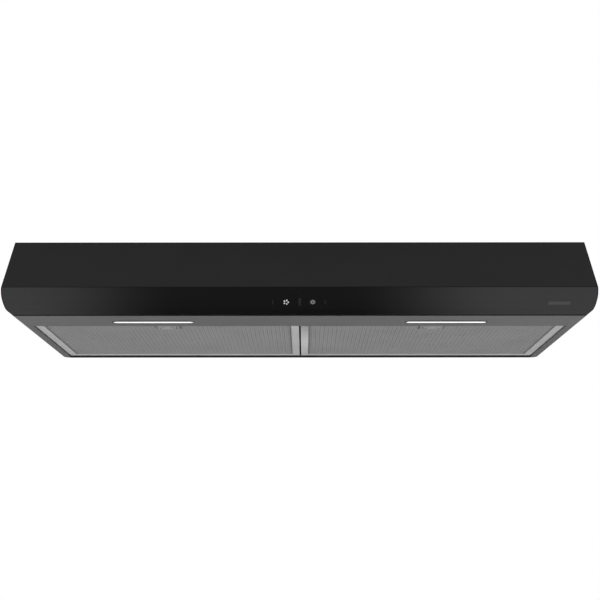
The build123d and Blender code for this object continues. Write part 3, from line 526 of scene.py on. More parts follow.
    @staticmethod
    def shade(piece: Piece) -> Piece:
        """Shade a piece smooth, with its flat faces kept flat.

        Args:
            piece: the object to work on.

        Returns:
            The same object.
        """
        Bench.only(piece)
        bpy.ops.mesh.customdata_custom_splitnormals_clear()
        Bench.smooth(piece)
        return Bench.apply(piece, "WEIGHTED_NORMAL", mode="FACE_AREA", weight=100, keep_sharp=True)

    @staticmethod
    def outward(piece: Piece) -> Piece:
        """Merge doubles and turn every face of a closed piece outwards.

        Args:
            piece: the object to work on.

        Returns:
            The same object.
        """
        with Bench.editing(piece):
            bpy.ops.mesh.select_all(action="SELECT")
            bpy.ops.mesh.remove_doubles(threshold=CLOSE)
            bpy.ops.mesh.normals_make_consistent(inside=False)
        return piece

    @staticmethod
    def join(name: str, pieces: list[Piece]) -> Piece:
        """Join several meshes into one piece.

        Args:
            name: the piece's name.
            pieces: what goes into it.

        Returns:
            The joined piece.
        """
        Bench.clear()
        for piece in pieces:
            piece.select_set(True)
        bpy.context.view_layer.objects.active = pieces[0]
        bpy.ops.object.join()
        pieces[0].name = name
        return pieces[0]

    @staticmethod
    def copy(piece: Piece, name: str) -> Piece:
        """Copy a piece and its mesh.

        Args:
            piece: what is copied.
            name: name of the copy.

        Returns:
            The copy.
        """
        other = piece.copy()
        other.data = piece.data.copy()
        other.name = name
        bpy.context.collection.objects.link(other)
        return other

    @staticmethod
    def twin(piece: Piece, name: str) -> Piece:
        """Mirror image of a right-hand piece, with its own mesh.

        Args:
            piece: the right-hand piece.
            name: name of the left-hand one.

        Returns:
            The mirror image.
        """
        other = Bench.copy(piece, name)
        other.scale.x = -1.0
        Bench.settle(other, name)
        return Bench.outward(other)

    @staticmethod
    def edges_at(piece: Piece, test: Callable[[Vector, Vector], bool]) -> None:
        """Select, in edit mode, the edges whose two ends pass a test.

        Args:
            piece: the object in edit mode.
            test: takes the places of an edge's two ends.
        """
        shape = bmesh.from_edit_mesh(piece.data)
        for edge in shape.edges:
            edge.select = test(edge.verts[0].co, edge.verts[1].co)
        bmesh.update_edit_mesh(piece.data)

    @staticmethod
    def round_corners(piece: Piece, radius: float, rear: float, steps: int = 10) -> None:
        """Round the upright rear corners of a plate.

        Args:
            piece: the plate.
            radius: in millimetres.
            rear: Y of the plate's rear edge, in metres.
            steps: facets round each corner.
        """
        def upright_at_rear(first: Vector, second: Vector) -> bool:
            """True for an upright edge on the rear side."""
            upright = abs(first.x - second.x) < CLOSE and abs(first.y - second.y) < CLOSE
            return upright and abs(first.y - rear) < 10 * CLOSE

        with Bench.editing(piece, "EDGE"):
            bpy.ops.mesh.select_all(action="DESELECT")
            Bench.edges_at(piece, upright_at_rear)
            bpy.ops.mesh.bevel(offset=radius * MM, segments=steps, affect="EDGES")

    @staticmethod
    def dress(piece: Piece, body: str, finish: str, slot: str = "",
              stands_for: Iterable[str] = ()) -> None:
        """Give a finished piece its material, its body and the nodes it stands for.

        Args:
            piece: the finished object.
            body: CAD body that it rides on.
            finish: name of its finish.
            slot: record slot, if it isn't the finish's own name; not used.
            stands_for: CAD nodes that it replaces.
        """
        piece.data.materials.clear()
        piece.data.materials.append(FINISHES[finish].make())
        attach(piece, body)
        if stands_for:
            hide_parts(*stands_for)
        LOG.info("%s: %d faces on %s", piece.name, len(piece.data.polygons), body)


def soft_copy(node: str, name: str, radius: float) -> Piece:
    """Copy of a CAD node with its facets merged and its edges rounded.

    Args:
        node: the CAD node.
        name: the new piece's name.
        radius: of the rounded edges, in millimetres.

    Returns:
        The new piece.
    """
    source = bpy.data.objects[node]
    piece = bpy.data.objects.new(name, source.data.copy())
    bpy.context.collection.objects.link(piece)
    piece.data.name = name
    with Bench.editing(piece):
        bpy.ops.mesh.select_all(action="SELECT")
        bpy.ops.mesh.customdata_custom_splitnormals_clear()
        bpy.ops.mesh.remove_doubles(threshold=2 * CLOSE)
        bpy.ops.mesh.dissolve_limited(angle_limit=math.radians(1.0))
    return Bench.soften(piece, radius, 2, 40)


class Outline:
    """A line drawn by straight runs and round turns, then filled or swept.

    It starts as one vertex, or as one edge that each step sweeps into a sheet.
    """

    def __init__(self, name: str, start: Vector, along: Vector | None = None) -> None:
        """Put down the first vertex, or the first edge where along is given.

        Args:
            name: the piece's name.
            start: where the line starts, in metres.
            along: from one end of the first edge to the other.
        """
        Bench.clear()
        bpy.ops.mesh.primitive_plane_add(size=1.0, location=(0, 0, 0))
        self.piece = bpy.context.object
        self.piece.name = name
        self.piece.data.name = name
        bpy.ops.object.mode_set(mode="EDIT")
        bpy.ops.mesh.select_mode(type="VERT")
        shape = bmesh.from_edit_mesh(self.piece.data)
        shape.verts.ensure_lookup_table()
        first = shape.verts[0]
        keep = [first, first.link_edges[0].other_vert(first)] if along else [first]
        for vertex in shape.verts:
            vertex.select = vertex not in keep
        bmesh.update_edit_mesh(self.piece.data)
        bpy.ops.mesh.delete(type="VERT")
        shape = bmesh.from_edit_mesh(self.piece.data)
        shape.verts.ensure_lookup_table()
        shape.verts[0].co = start
        if along:
            shape.verts[1].co = start + along
        bmesh.update_edit_mesh(self.piece.data)
        bpy.ops.mesh.select_all(action="SELECT")
        self.swept = bool(along)

    def run(self, move: Vector) -> "Outline":
        """Go straight by a vector.

        Args:
            move: how far and which way, in metres.

        Returns:
            The same outline.
        """
        step = {"value": move}
        if self.swept:
            bpy.ops.mesh.extrude_region_move(TRANSFORM_OT_translate=step)
        else:
            bpy.ops.mesh.extrude_vertices_move(TRANSFORM_OT_translate=step)
        return self

    def turn(self, centre: Vector, axis: Vector, degrees: float, steps: int) -> "Outline":
        """Go round a centre."""
        bpy.ops.mesh.spin(steps=steps, angle=-math.radians(degrees), center=centre, axis=axis)
        return self

    def sheet(self, thickness: float, outside: Vector) -> Piece:
        """Give the swept line its thickness, inwards from the drawn face.

        Args:
            thickness: in millimetres.
            outside: direction that the drawn face looks in, on the whole.

        Returns:
            The solid sheet.
        """
        bpy.ops.mesh.select_all(action="SELECT")
        bpy.ops.mesh.remove_doubles(threshold=1e-7)
        bpy.ops.mesh.normals_make_consistent(inside=False)
        bpy.ops.object.mode_set(mode="OBJECT")
        total = sum((face.normal * face.area for face in self.piece.data.polygons), Vector())
        if total.dot(outside) < 0:
            self.piece.data.flip_normals()
        Bench.apply(self.piece, "SOLIDIFY", thickness=thickness * MM, offset=-1.0, use_even_offset=True)
        return Bench.outward(self.piece)

    def plate(self, depth: Vector) -> Piece:
        """Close and fill the line, then extrude it into a solid."""
        self._fill()
        bpy.ops.mesh.extrude_region_move(TRANSFORM_OT_translate={"value": depth})
        bpy.ops.object.mode_set(mode="OBJECT")
        return Bench.outward(self.piece)

    def face(self) -> Piece:
        """Close and fill the line as one flat face."""
        self._fill()
        bpy.ops.object.mode_set(mode="OBJECT")
        return self.piece

    def _fill(self) -> None:
        """Merge the line's ends and fill it."""
        bpy.ops.mesh.select_all(action="SELECT")
        bpy.ops.mesh.remove_doubles(threshold=CLOSE)
        bpy.ops.mesh.edge_face_add()


# ---------------------------------------------------------------- hood datum


@dataclass
class Hood:
    """Datum of the hood, read from the frame, and the curve of its side profile."""

    brow_radius: float = 4.0
    nose_rise: float = 21.6
    nose_depth: float = 40.0
    tip_radius: float = 13.5
    fascia_top: float = 72.0
    sheet: float = 1.0
    round_end_steps: int = 16
    low: Vector = field(default_factory=Vector)
    high: Vector = field(default_factory=Vector)

    def read(self) -> "Hood":
        """Take the body's corners from the frame's nodes."""
        frame_low, frame_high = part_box("underside_frame")
        band_low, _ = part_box("control_band")
        _, top_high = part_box("top_panel")
        _, back_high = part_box("back_panel")
        self.low = Vector((frame_low.x, band_low.y, frame_low.z))
        self.high = Vector((frame_high.x, back_high.y, top_high.z))
        return self

    @property
    def half_width(self) -> float:
        """Half the body's width."""
        return self.high.x / MM

    @property
    def depth(self) -> float:
        """Depth of the body from nose to wall."""
        return (self.high.y - self.low.y) / MM

    @property
    def height(self) -> float:
        """Height of the body without its collar."""
        return (self.high.z - self.low.z) / MM

    @property
    def slope(self) -> float:
        """Angle of the fascia above the horizontal, in radians."""
        run = self.fascia_top - self.brow_radius
        rise = self.height - self.nose_rise
        return math.atan2(rise, run) - math.asin(self.brow_radius / math.hypot(run, rise))

    @property
    def belly_radius(self) -> float:
        """Radius of the lower nose arc."""
        run = self.nose_depth - self.tip_radius
        square = run ** 2 + self.nose_rise ** 2 - self.tip_radius ** 2
        return square / (2 * (self.nose_rise - self.tip_radius))

    @property
    def up_slope(self) -> Vector:
        """Unit vector up the fascia."""
        return Vector((0, math.cos(self.slope), math.sin(self.slope)))

    @property
    def off_slope(self) -> Vector:
        """Unit vector out of the fascia."""
        return Vector((0, -math.sin(self.slope), math.cos(self.slope)))

    def at(self, x: float, depth: float, height: float) -> Vector:
        """Point in the frame's metres."""
        return Vector((x * MM, self.low.y + depth * MM, self.low.z + height * MM))

    def seam(self, x: float, up: float = 0.0) -> Vector:
        """Point on the seam between fascia and band, moved up the slope."""
        centre = self.at(x, self.brow_radius, self.nose_rise)
        return centre + self.off_slope * self.brow_radius * MM + self.up_slope * up * MM

    def nose(self, line: Outline, x: float, steps: int) -> Outline:
        """Draw the three nose arcs from the seam down to the flat underside.

        Args:
            line: what is drawn on, ending at the seam.
            x: where the arcs' centres lie.
            steps: facets round each of the two large arcs.

        Returns:
            The same outline.
        """
        join = math.atan2(self.belly_radius - self.nose_rise, self.nose_depth - self.tip_radius)
        join = math.degrees(join)
        brow = 90 - math.degrees(self.slope)
        line.turn(self.at(x, self.brow_radius, self.nose_rise), X_AXIS, brow, steps // 2)
        line.turn(self.at(x, self.tip_radius, self.nose_rise), X_AXIS, join, steps)
        return line.turn(self.at(x, self.nose_depth, self.belly_radius), X_AXIS, 90 - join, steps)

    def block(self, name: str, x: Span, depth: Span, height: Span) -> Piece:
        """Box given by its spans in hood millimetres.

        Args:
            name: the piece's name.
            x: from left to right.
            depth: from front to rear.
            height: from low to high.

        Returns:
            The box.
        """
        low = self.at(min(x), depth[0], height[0])
        return Bench.block(name, low, self.at(max(x), depth[1], height[1]))

    def capsule(self, name: str, centre: Triple, length: float, width: float, thick: float) -> Piece:
        """Upright prism with round ends, lying along X.

        Args:
            name: the piece's name.
            centre: middle of its lower face.
            length: over both round ends.
            width: across.
            thick: height of the prism.

        Returns:
            The solid.
        """
        x, depth, height = centre
        radius, reach = width / 2, (length - width) / 2
        line = Outline(name, self.at(x - reach, depth - radius, height))
        line.run(X_AXIS * 2 * reach * MM)
        line.turn(self.at(x + reach, depth, height), Z_AXIS, 180, self.round_end_steps)
        line.run(-X_AXIS * 2 * reach * MM)
        line.turn(self.at(x - reach, depth, height), Z_AXIS, 180, self.round_end_steps)
        return line.plate(Z_AXIS * thick * MM)


# ---------------------------------------------------------------- shell


@dataclass
class Shell:
    """Painted outer sheets: fascia, sides, back and top."""

    hood: Hood
    seam_gap: float = 0.6
    bend_radius: float = 1.6
    bend_steps: int = 6
    flange_end: float = 87.0
    fascia_return: float = 5.0
    fold_radius: float = 0.8
    fold_steps: int = 4
    corner_radius: float = 12.0
    corner_steps: int = 10
    nose_steps: int = 12
    strip_start: float = 71.0
    edge: float = 0.3
    screw_spacing: Span = (660.0, 300.0)
    origin_depth: float = 270.0
    slot_size: Span = (14.0, 6.5)
    hole_radius: float = 11.1
    hole_sides: int = 48
    top_hole: Span = (240.0, 434.0)
    rear_hole: Span = (240.0, 74.0)
    duct_width: float = 250.0
    duct_depths: Span = (374.0, 452.5)
    port_half: float = 124.0
    port_heights: Span = (34.0, 94.0)
    flange_start: float = 461.5
    skirt_heights: Span = (0.5, 5.0)
    opening_half: float = 369.5
    through_top: Span = (90.0, 110.0)
    through_back: float = 4.0
    through_slot: float = 3.0
    through_side: float = 2.0

    def build(self) -> None:
        """Build and dress every sheet of the shell."""
        self.build_fascia()
        self.build_sides()
        self.build_back()
        self.build_top()

    @property
    def bend_short(self) -> float:
        """How far the top bend starts before the corner of the flat sheets."""
        return self.bend_radius * math.tan(self.hood.slope / 2)

    def draw_bend(self, line: Outline, x: float) -> Vector:
        """Turn from the top down the slope.

        Args:
            line: the outline, ending where the bend starts.
            x: where the bend's centre lies.

        Returns:
            Where the bend ends, at the middle of the hood.
        """
        hood = self.hood
        centre = hood.at(x, hood.fascia_top + self.bend_short, hood.height - self.bend_radius)
        line.turn(centre, X_AXIS, math.degrees(hood.slope), self.bend_steps)
        return hood.at(0, hood.fascia_top, hood.height) - hood.up_slope * self.bend_short * MM

    def build_fascia(self) -> None:
        """Sloped front with a bent top edge and a return at the seam."""
        hood = self.hood
        half = hood.half_width - hood.sheet
        start = hood.at(-half, self.flange_end, hood.height)
        line = Outline("fascia", start, X_AXIS * 2 * half * MM)
        line.run(-Y_AXIS * (self.flange_end - hood.fascia_top - self.bend_short) * MM)
        bend_end = self.draw_bend(line, 0)
        foot = hood.seam(0, self.seam_gap + self.fold_radius)
        line.run(foot - bend_end)
        line.turn(foot - hood.off_slope * self.fold_radius * MM, X_AXIS, 90, self.fold_steps)
        line.run(-hood.off_slope * (self.fascia_return - self.fold_radius) * MM)
        piece = line.sheet(hood.sheet, hood.off_slope)
        Bench.soften(piece, self.edge)
        Bench.dress(piece, "hood", "satin_black", stands_for=["front_fascia"])

    def build_sides(self) -> None:
        """Flat side sheets with the whole profile, nose included, darkened as painted shade on their
        edges.
        """
        hood = self.hood
        x, rear = hood.half_width - hood.sheet, hood.depth - self.corner_radius
        line = Outline("side_sheet_right", hood.at(x, rear, hood.height))
        line.run(-Y_AXIS * (rear - hood.fascia_top - self.bend_short) * MM)
        bend_end = self.draw_bend(line, x)
        line.run(hood.seam(0) - bend_end)
        hood.nose(line, x, self.nose_steps)
        line.run(Y_AXIS * (self.strip_start - hood.nose_depth) * MM)
        line.run(Z_AXIS * hood.sheet * MM)
        line.run(Y_AXIS * (rear - self.strip_start) * MM)
        right = line.plate(X_AXIS * hood.sheet * MM)
        Bench.soften(right, self.edge)
        left = Bench.shade(Bench.twin(right, "side_sheet_left"))
        # The sides get a darker finish than their satin black: painted shade for the dark line along
        # their edges.
        for side, piece in ((Side.RIGHT, right), (Side.LEFT, left)):
            Bench.dress(piece, "hood", "side_shade_black", slot="satin_black",
                        stands_for=[f"side_panel_{side.label}"])

    def build_back(self) -> None:
        """Back sheet that turns both rear corners, with its lower flange and openings."""
        hood, radius = self.hood, self.corner_radius
        half, rear = hood.half_width, hood.depth
        low, high = hood.sheet, hood.height - hood.sheet
        line = Outline("back_sheet", hood.at(half, rear - radius, low), Z_AXIS * (high - low) * MM)
        line.turn(hood.at(half - radius, rear - radius, low), Z_AXIS, 90, self.corner_steps)
        line.run(-X_AXIS * 2 * (half - radius) * MM)
        line.turn(hood.at(radius - half, rear - radius, low), Z_AXIS, 90, self.corner_steps)
        piece = line.sheet(hood.sheet, Y_AXIS)
        width = (-self.opening_half, self.opening_half)
        flange = hood.block("flange", width, (self.flange_start, rear), (0, hood.sheet))
        skirt = hood.block("skirt", width, (rear - hood.sheet, rear), self.skirt_heights)
        Bench.weld(piece, flange, skirt)
        through = (rear - self.through_back, rear + self.through_back)
        port = hood.block("port", (-self.port_half, self.port_half), through, self.port_heights)
        x, height = self.rear_hole
        ends = [hood.at(x, depth, height) for depth in through]
        Bench.cut(piece, port, Bench.bar("hole", self.hole_radius, *ends, self.hole_sides))
        Bench.soften(piece, self.edge)
        Bench.dress(piece, "hood", "satin_black", stands_for=["back_panel"])

    def build_top(self) -> None:
        """Top sheet with rounded rear corners, screw slots, duct opening and knockout."""
        hood, rear = self.hood, self.hood.depth
        half, thick = hood.half_width, hood.sheet
        heights = (hood.height - thick, hood.height)
        piece = hood.block("top_sheet", (-half, half), (self.flange_end, rear), heights)
        Bench.round_corners(piece, self.corner_radius, hood.at(0, rear, 0).y, self.corner_steps)
        for side in Side:
            edge = side.span(half - thick, half + self.through_side)
            Bench.cut(piece, hood.block("trim", edge, (0, rear - self.corner_radius), self.through_top))
        self.cut_slots(piece)
        duct = (-self.duct_width / 2, self.duct_width / 2)
        opening = hood.block("opening", duct, self.duct_depths, self.through_top)
        ends = [hood.at(*self.top_hole, height) for height in self.through_top]
        Bench.cut(piece, opening, Bench.bar("hole", self.hole_radius, *ends, self.hole_sides))
        Bench.soften(piece, self.edge)
        Bench.dress(piece, "hood", "satin_black", stands_for=["top_panel"])

    def cut_slots(self, piece: Piece) -> None:
        """Cut the four slotted screw holes.

        Args:
            piece: the top sheet.
        """
        spacing_x, spacing_y = self.screw_spacing
        height = self.hood.height - self.through_slot
        for side in Side:
            for end in (-1, 1):
                centre = (side.value * spacing_x / 2, self.origin_depth + end * spacing_y / 2, height)
                slot = self.hood.capsule("slot", centre, *self.slot_size, 2 * self.through_slot)
                Bench.cut(piece, slot)


# ---------------------------------------------------------------- control band


@dataclass
class ControlBand:
    """Glossy nose with its lit keys, unlit marks and plain badge.

    The symbols' own sizes are shares of half a key's width.
    """

    hood: Hood
    thickness: float = 2.4
    end: float = 66.5
    edge: float = 0.35
    nose_steps: int = 16
    lip_and_shadow_edge: float = 0.05
    lip_and_shadow_play: float = 0.1
    lip_depths: Span = (66.55, 70.9)
    lip_heights: Span = (0.0, 1.2)
    shadow_strip_depths: Span = (71.2, 76.5)
    shadow_strip_heights: Span = (-0.3, -0.02)
    key_x: float = 17.0
    key_tilt: float = 26.3
    key_width: float = 7.6
    stretch: float = 1.45
    relief: float = 0.10
    blades: int = 5
    blade_root: float = 0.40
    blade_centre: Span = (0.69, 0.04)
    blade_tip: Span = (0.73, 0.06)
    blade_lead: float = 6.0
    blade_turns: Span = (-200.0, -100.0)
    blade_steps: tuple[int, int] = (10, 5)
    lamp_ring: Span = (0.64, 0.27)
    ring_sides: int = 28
    rays: int = 8
    ray_reach: Span = (0.74, 0.97)
    ray_half: float = 0.06
    mark_places: Triple = (-34.0, 0.4, 33.0)
    side_mark: Span = (1.6, 9.0)
    middle_mark: Span = (3.4, 16.0)
    mark_cells: tuple[int, int] = (2, 8)
    badge_x: float = 332.0
    badge_size: Span = (28.0, 7.0)
    badge_lower: float = 2.2

    def build(self) -> None:
        """Build the band and everything printed on it."""
        self.build_band()
        self.build_seam_and_shadow()
        self.build_keys()
        self.build_marks()

    def build_band(self) -> None:
        """Moulded band from the fascia seam, round the nose, to the light strip."""
        hood = self.hood
        half = hood.half_width - hood.sheet
        line = Outline("touch_band", hood.seam(-half), X_AXIS * 2 * half * MM)
        hood.nose(line, 0, self.nose_steps)
        line.run(Y_AXIS * (self.end - hood.nose_depth) * MM)
        piece = line.sheet(self.thickness, Vector((0, -1, -1)))
        Bench.soften(piece, self.edge, 3, 40)
        Bench.dress(piece, "hood", "gloss_black", stands_for=["control_band"])

    def build_seam_and_shadow(self) -> None:
        """Lip that carries the band up to the light strip, and a near-black strip as painted shadow over
        their joint.
        """
        half = self.hood.half_width - self.hood.sheet - self.lip_and_shadow_play
        lip = self.hood.block("band_lip", (-half, half), self.lip_depths, self.lip_heights)
        Bench.dress(Bench.soften(lip, self.lip_and_shadow_edge), "hood", "gloss_black")
        # Near-black strip under the joint: painted shadow of the gap between band and light strip.
        trim = self.hood.block("gap_shadow_strip", (-half, half), self.shadow_strip_depths, self.shadow_strip_heights)
        Bench.dress(Bench.soften(trim, self.lip_and_shadow_edge), "hood", "gap_shadow_black", slot="gloss_black")

    def place(self, x: float, piece: Piece, lower: float = 0.0) -> Piece:
        """Lay a flat shape, drawn round the origin, on the band's curve.

        Args:
            x: where it goes along the band.
            piece: flat shape in the XY plane, in metres.
            lower: how many degrees of the curve it sits below the keys.

        Returns:
            The shape, standing proud of the band by its relief.
        """
        hood = self.hood
        tilt = math.radians(self.key_tilt - lower)
        inward = Vector((0, math.sin(tilt), math.cos(tilt)))
        up = Vector((0, -math.cos(tilt), math.sin(tilt)))
        centre = hood.at(x, hood.nose_depth, hood.belly_radius)
        radius = hood.belly_radius * MM
        for vertex in piece.data.vertices:
            arc = vertex.co.y / radius
            lift = up * math.sin(arc) * radius - inward * math.cos(arc) * radius
            vertex.co = centre + X_AXIS * vertex.co.x + lift
        piece.data.update()
        total = sum((face.normal for face in piece.data.polygons), Vector())
        if total.dot(inward) > 0:
            piece.data.flip_normals()
        Bench.apply(piece, "SOLIDIFY", thickness=self.relief * MM, offset=1.0)
        return Bench.outward(Bench.smooth(piece))

    def build_keys(self) -> None:
        """Fan symbol on the left key and lamp symbol on the right key."""
        fan = self.place(-self.key_x, self.fan_symbol())
        Bench.dress(fan, "hood", "key_light", slot="light_lens")
        lamp = self.place(self.key_x, self.lamp_symbol())
        Bench.dress(lamp, "hood", "key_glow", slot="light_lens")

    def share(self, x: float, y: float = 0.0) -> Vector:
        """Point of a symbol, from shares of half a key's width."""
        return Vector((x, y, 0)) * (self.key_width / 2 * MM)

    def gather(self, name: str, pieces: list[Piece]) -> Piece:
        """Join the parts of a symbol and stretch it up the band.

        Args:
            name: the symbol's name.
            pieces: its flat parts.

        Returns:
            The flat symbol.
        """
        symbol = Bench.join(name, pieces)
        symbol.data.transform(Matrix.Diagonal((1.0, self.stretch, 1.0, 1.0)))
        return symbol

    def fan_symbol(self) -> Piece:
        """Curved blades round an open hub."""
        blades = []
        for number in range(self.blades):
            line = Outline("fan_key", self.share(self.blade_root))
            centres = (self.blade_centre, self.blade_tip)
            for centre, degrees, steps in zip(centres, self.blade_turns, self.blade_steps):
                line.turn(self.share(*centre), Z_AXIS, degrees, steps)
            blade = line.face()
            turn = math.radians(360 / self.blades * number - self.blade_lead)
            blade.data.transform(Matrix.Rotation(turn, 4, "Z"))
            blades.append(blade)
        return self.gather("fan_key", blades)

    def lamp_symbol(self) -> Piece:
        """Ring with short rays."""
        outer, width = self.lamp_ring
        Bench.clear()
        radius = self.share(outer).x
        bpy.ops.mesh.primitive_circle_add(vertices=self.ring_sides, radius=radius, fill_type="NGON")
        pieces = [Bench.settle(bpy.context.object, "lamp_key")]
        with Bench.editing(pieces[0]):
            bpy.ops.mesh.select_all(action="SELECT")
            bpy.ops.mesh.inset(thickness=self.share(width).x)
            bpy.ops.mesh.delete(type="FACE")
        start, end = self.ray_reach
        for number in range(self.rays):
            ray = Bench.tile("ray", self.share(start, -self.ray_half), self.share(end, self.ray_half))
            ray.data.transform(Matrix.Rotation(math.radians(360 / self.rays * number), 4, "Z"))
            pieces.append(ray)
        return self.gather("lamp_key", pieces)

    def bar_mark(self, name: str, size: Span) -> Piece:
        """Flat bar, cut across so that it can follow the curve."""
        half = Vector((*size, 0)) / 2 * MM
        return Bench.tile(name, -half, half, *self.mark_cells)

    def build_marks(self) -> None:
        """Unlit marks beside and between the keys, and a plain badge at the right end."""
        left, middle, right = self.mark_places
        marks = {
            "key_mark_left": (left, self.side_mark),
            "key_mark_right": (right, self.side_mark),
            "key_mark_middle": (middle, self.middle_mark),
        }
        for name, (x, size) in marks.items():
            mark = self.place(x, self.bar_mark(name, size))
            Bench.dress(mark, "hood", "key_unlit", slot="gloss_black")
        badge = self.place(self.badge_x, self.bar_mark("plain_badge", self.badge_size), self.badge_lower)
        Bench.dress(badge, "hood", "badge_grey", slot="gloss_black")


# ---------------------------------------------------------------- underside


@dataclass
class Underside:
    """Grey frame below the body, with the two light bars."""

    hood: Hood
    start: float = 71.0
    opening_start: float = 160.0
    opening_half: float = 369.8
    corner_radius: float = 12.0
    edge: float = 0.28
    lip_heights: Span = (0.3, 12.0)
    lip_end: float = 446.0
    lip_overlap: float = 0.5
    corner_lap: float = 1.0
    through: float = 5.0
    through_rear: float = 20.0
    light_x: float = 199.0
    light_depth: float = 126.5
    light_size: Span = (110.0, 20.0)
    light_gap: float = 1.0
    lens_seen: Span = (109.0, 12.5)
    lens_proud: float = 0.5
    lens_top: float = 2.5
    lens_edge: float = 0.4
    flange_rim: float = 3.0
    flange_heights: Span = (1.2, 2.5)
    gasket_proud: float = 0.8
    gasket_top: float = 0.95
    gasket_edge: float = 0.25
    play: float = 0.05

    def build(self) -> None:
        """Build the frame and both light bars."""
        self.build_frame()
        for side in Side:
            self.build_light(side)

    def capsule(self, name: str, side: Side, size: Span, grow: float, heights: Span) -> Piece:
        """Round-ended prism in the place of one light bar.

        Args:
            name: the piece's name.
            side: which light bar.
            size: length and width.
            grow: how much wider it is on every side.
            heights: of its lower and upper face.

        Returns:
            The solid.
        """
        low, high = heights
        length, width = size
        centre = (side.value * self.light_x, self.light_depth, low)
        return self.hood.capsule(name, centre, length + 2 * grow, width + 2 * grow, high - low)

    def build_frame(self) -> None:
        """U-shaped sheet with folded lips and two light slots."""
        hood, half = self.hood, self.hood.half_width
        piece = hood.block("under_sheet", (-half, half), (self.start, hood.depth), (0, hood.sheet))
        Bench.round_corners(piece, self.corner_radius, hood.at(0, hood.depth, 0).y)
        width = (-self.opening_half, self.opening_half)
        depths = (self.opening_start, hood.depth + self.through_rear)
        Bench.cut(piece, hood.block("opening", width, depths, (-self.through, self.through)))
        width = (-self.opening_half - self.corner_lap, self.opening_half + self.corner_lap)
        depths = (self.opening_start - hood.sheet, self.opening_start)
        Bench.weld(piece, hood.block("lip", width, depths, self.lip_heights))
        for side in Side:
            span = side.span(self.opening_half, self.opening_half + hood.sheet)
            depths = (self.opening_start - self.lip_overlap, self.lip_end)
            rail = hood.block("lip", span, depths, self.lip_heights)
            Bench.weld(piece, rail)
            heights = (-self.through, self.through)
            Bench.cut(piece, self.capsule("slot", side, self.light_size, self.light_gap, heights))
        Bench.soften(piece, self.edge)
        Bench.dress(piece, "hood", "grey_paint", stands_for=["underside_frame"])

    def build_light(self, side: Side) -> None:
        """Opal lens in a thin dark gasket.

        Args:
            side: which light bar.
        """
        heights = (-self.lens_proud, self.lens_top)
        lens = self.capsule(f"lens_{side.label}", side, self.lens_seen, 0.0, heights)
        flange = self.capsule("flange", side, self.light_size, self.flange_rim, self.flange_heights)
        Bench.weld(lens, flange)
        Bench.soften(lens, self.lens_edge, 3)
        Bench.dress(lens, "hood", "light_lens", stands_for=[f"light_lens_{side.label}"])
        heights = (-self.gasket_proud, self.gasket_top)
        ring = self.capsule(f"lens_gasket_{side.label}", side, self.light_size,
                            self.light_gap - self.play, heights)
        heights = (-self.through, self.through)
        Bench.cut(ring, self.capsule("hole", side, self.lens_seen, self.play, heights))
        Bench.soften(ring, self.gasket_edge, 3)
        Bench.dress(ring, "hood", "gasket_grey", slot="rubber_black")


# ---------------------------------------------------------------- filters


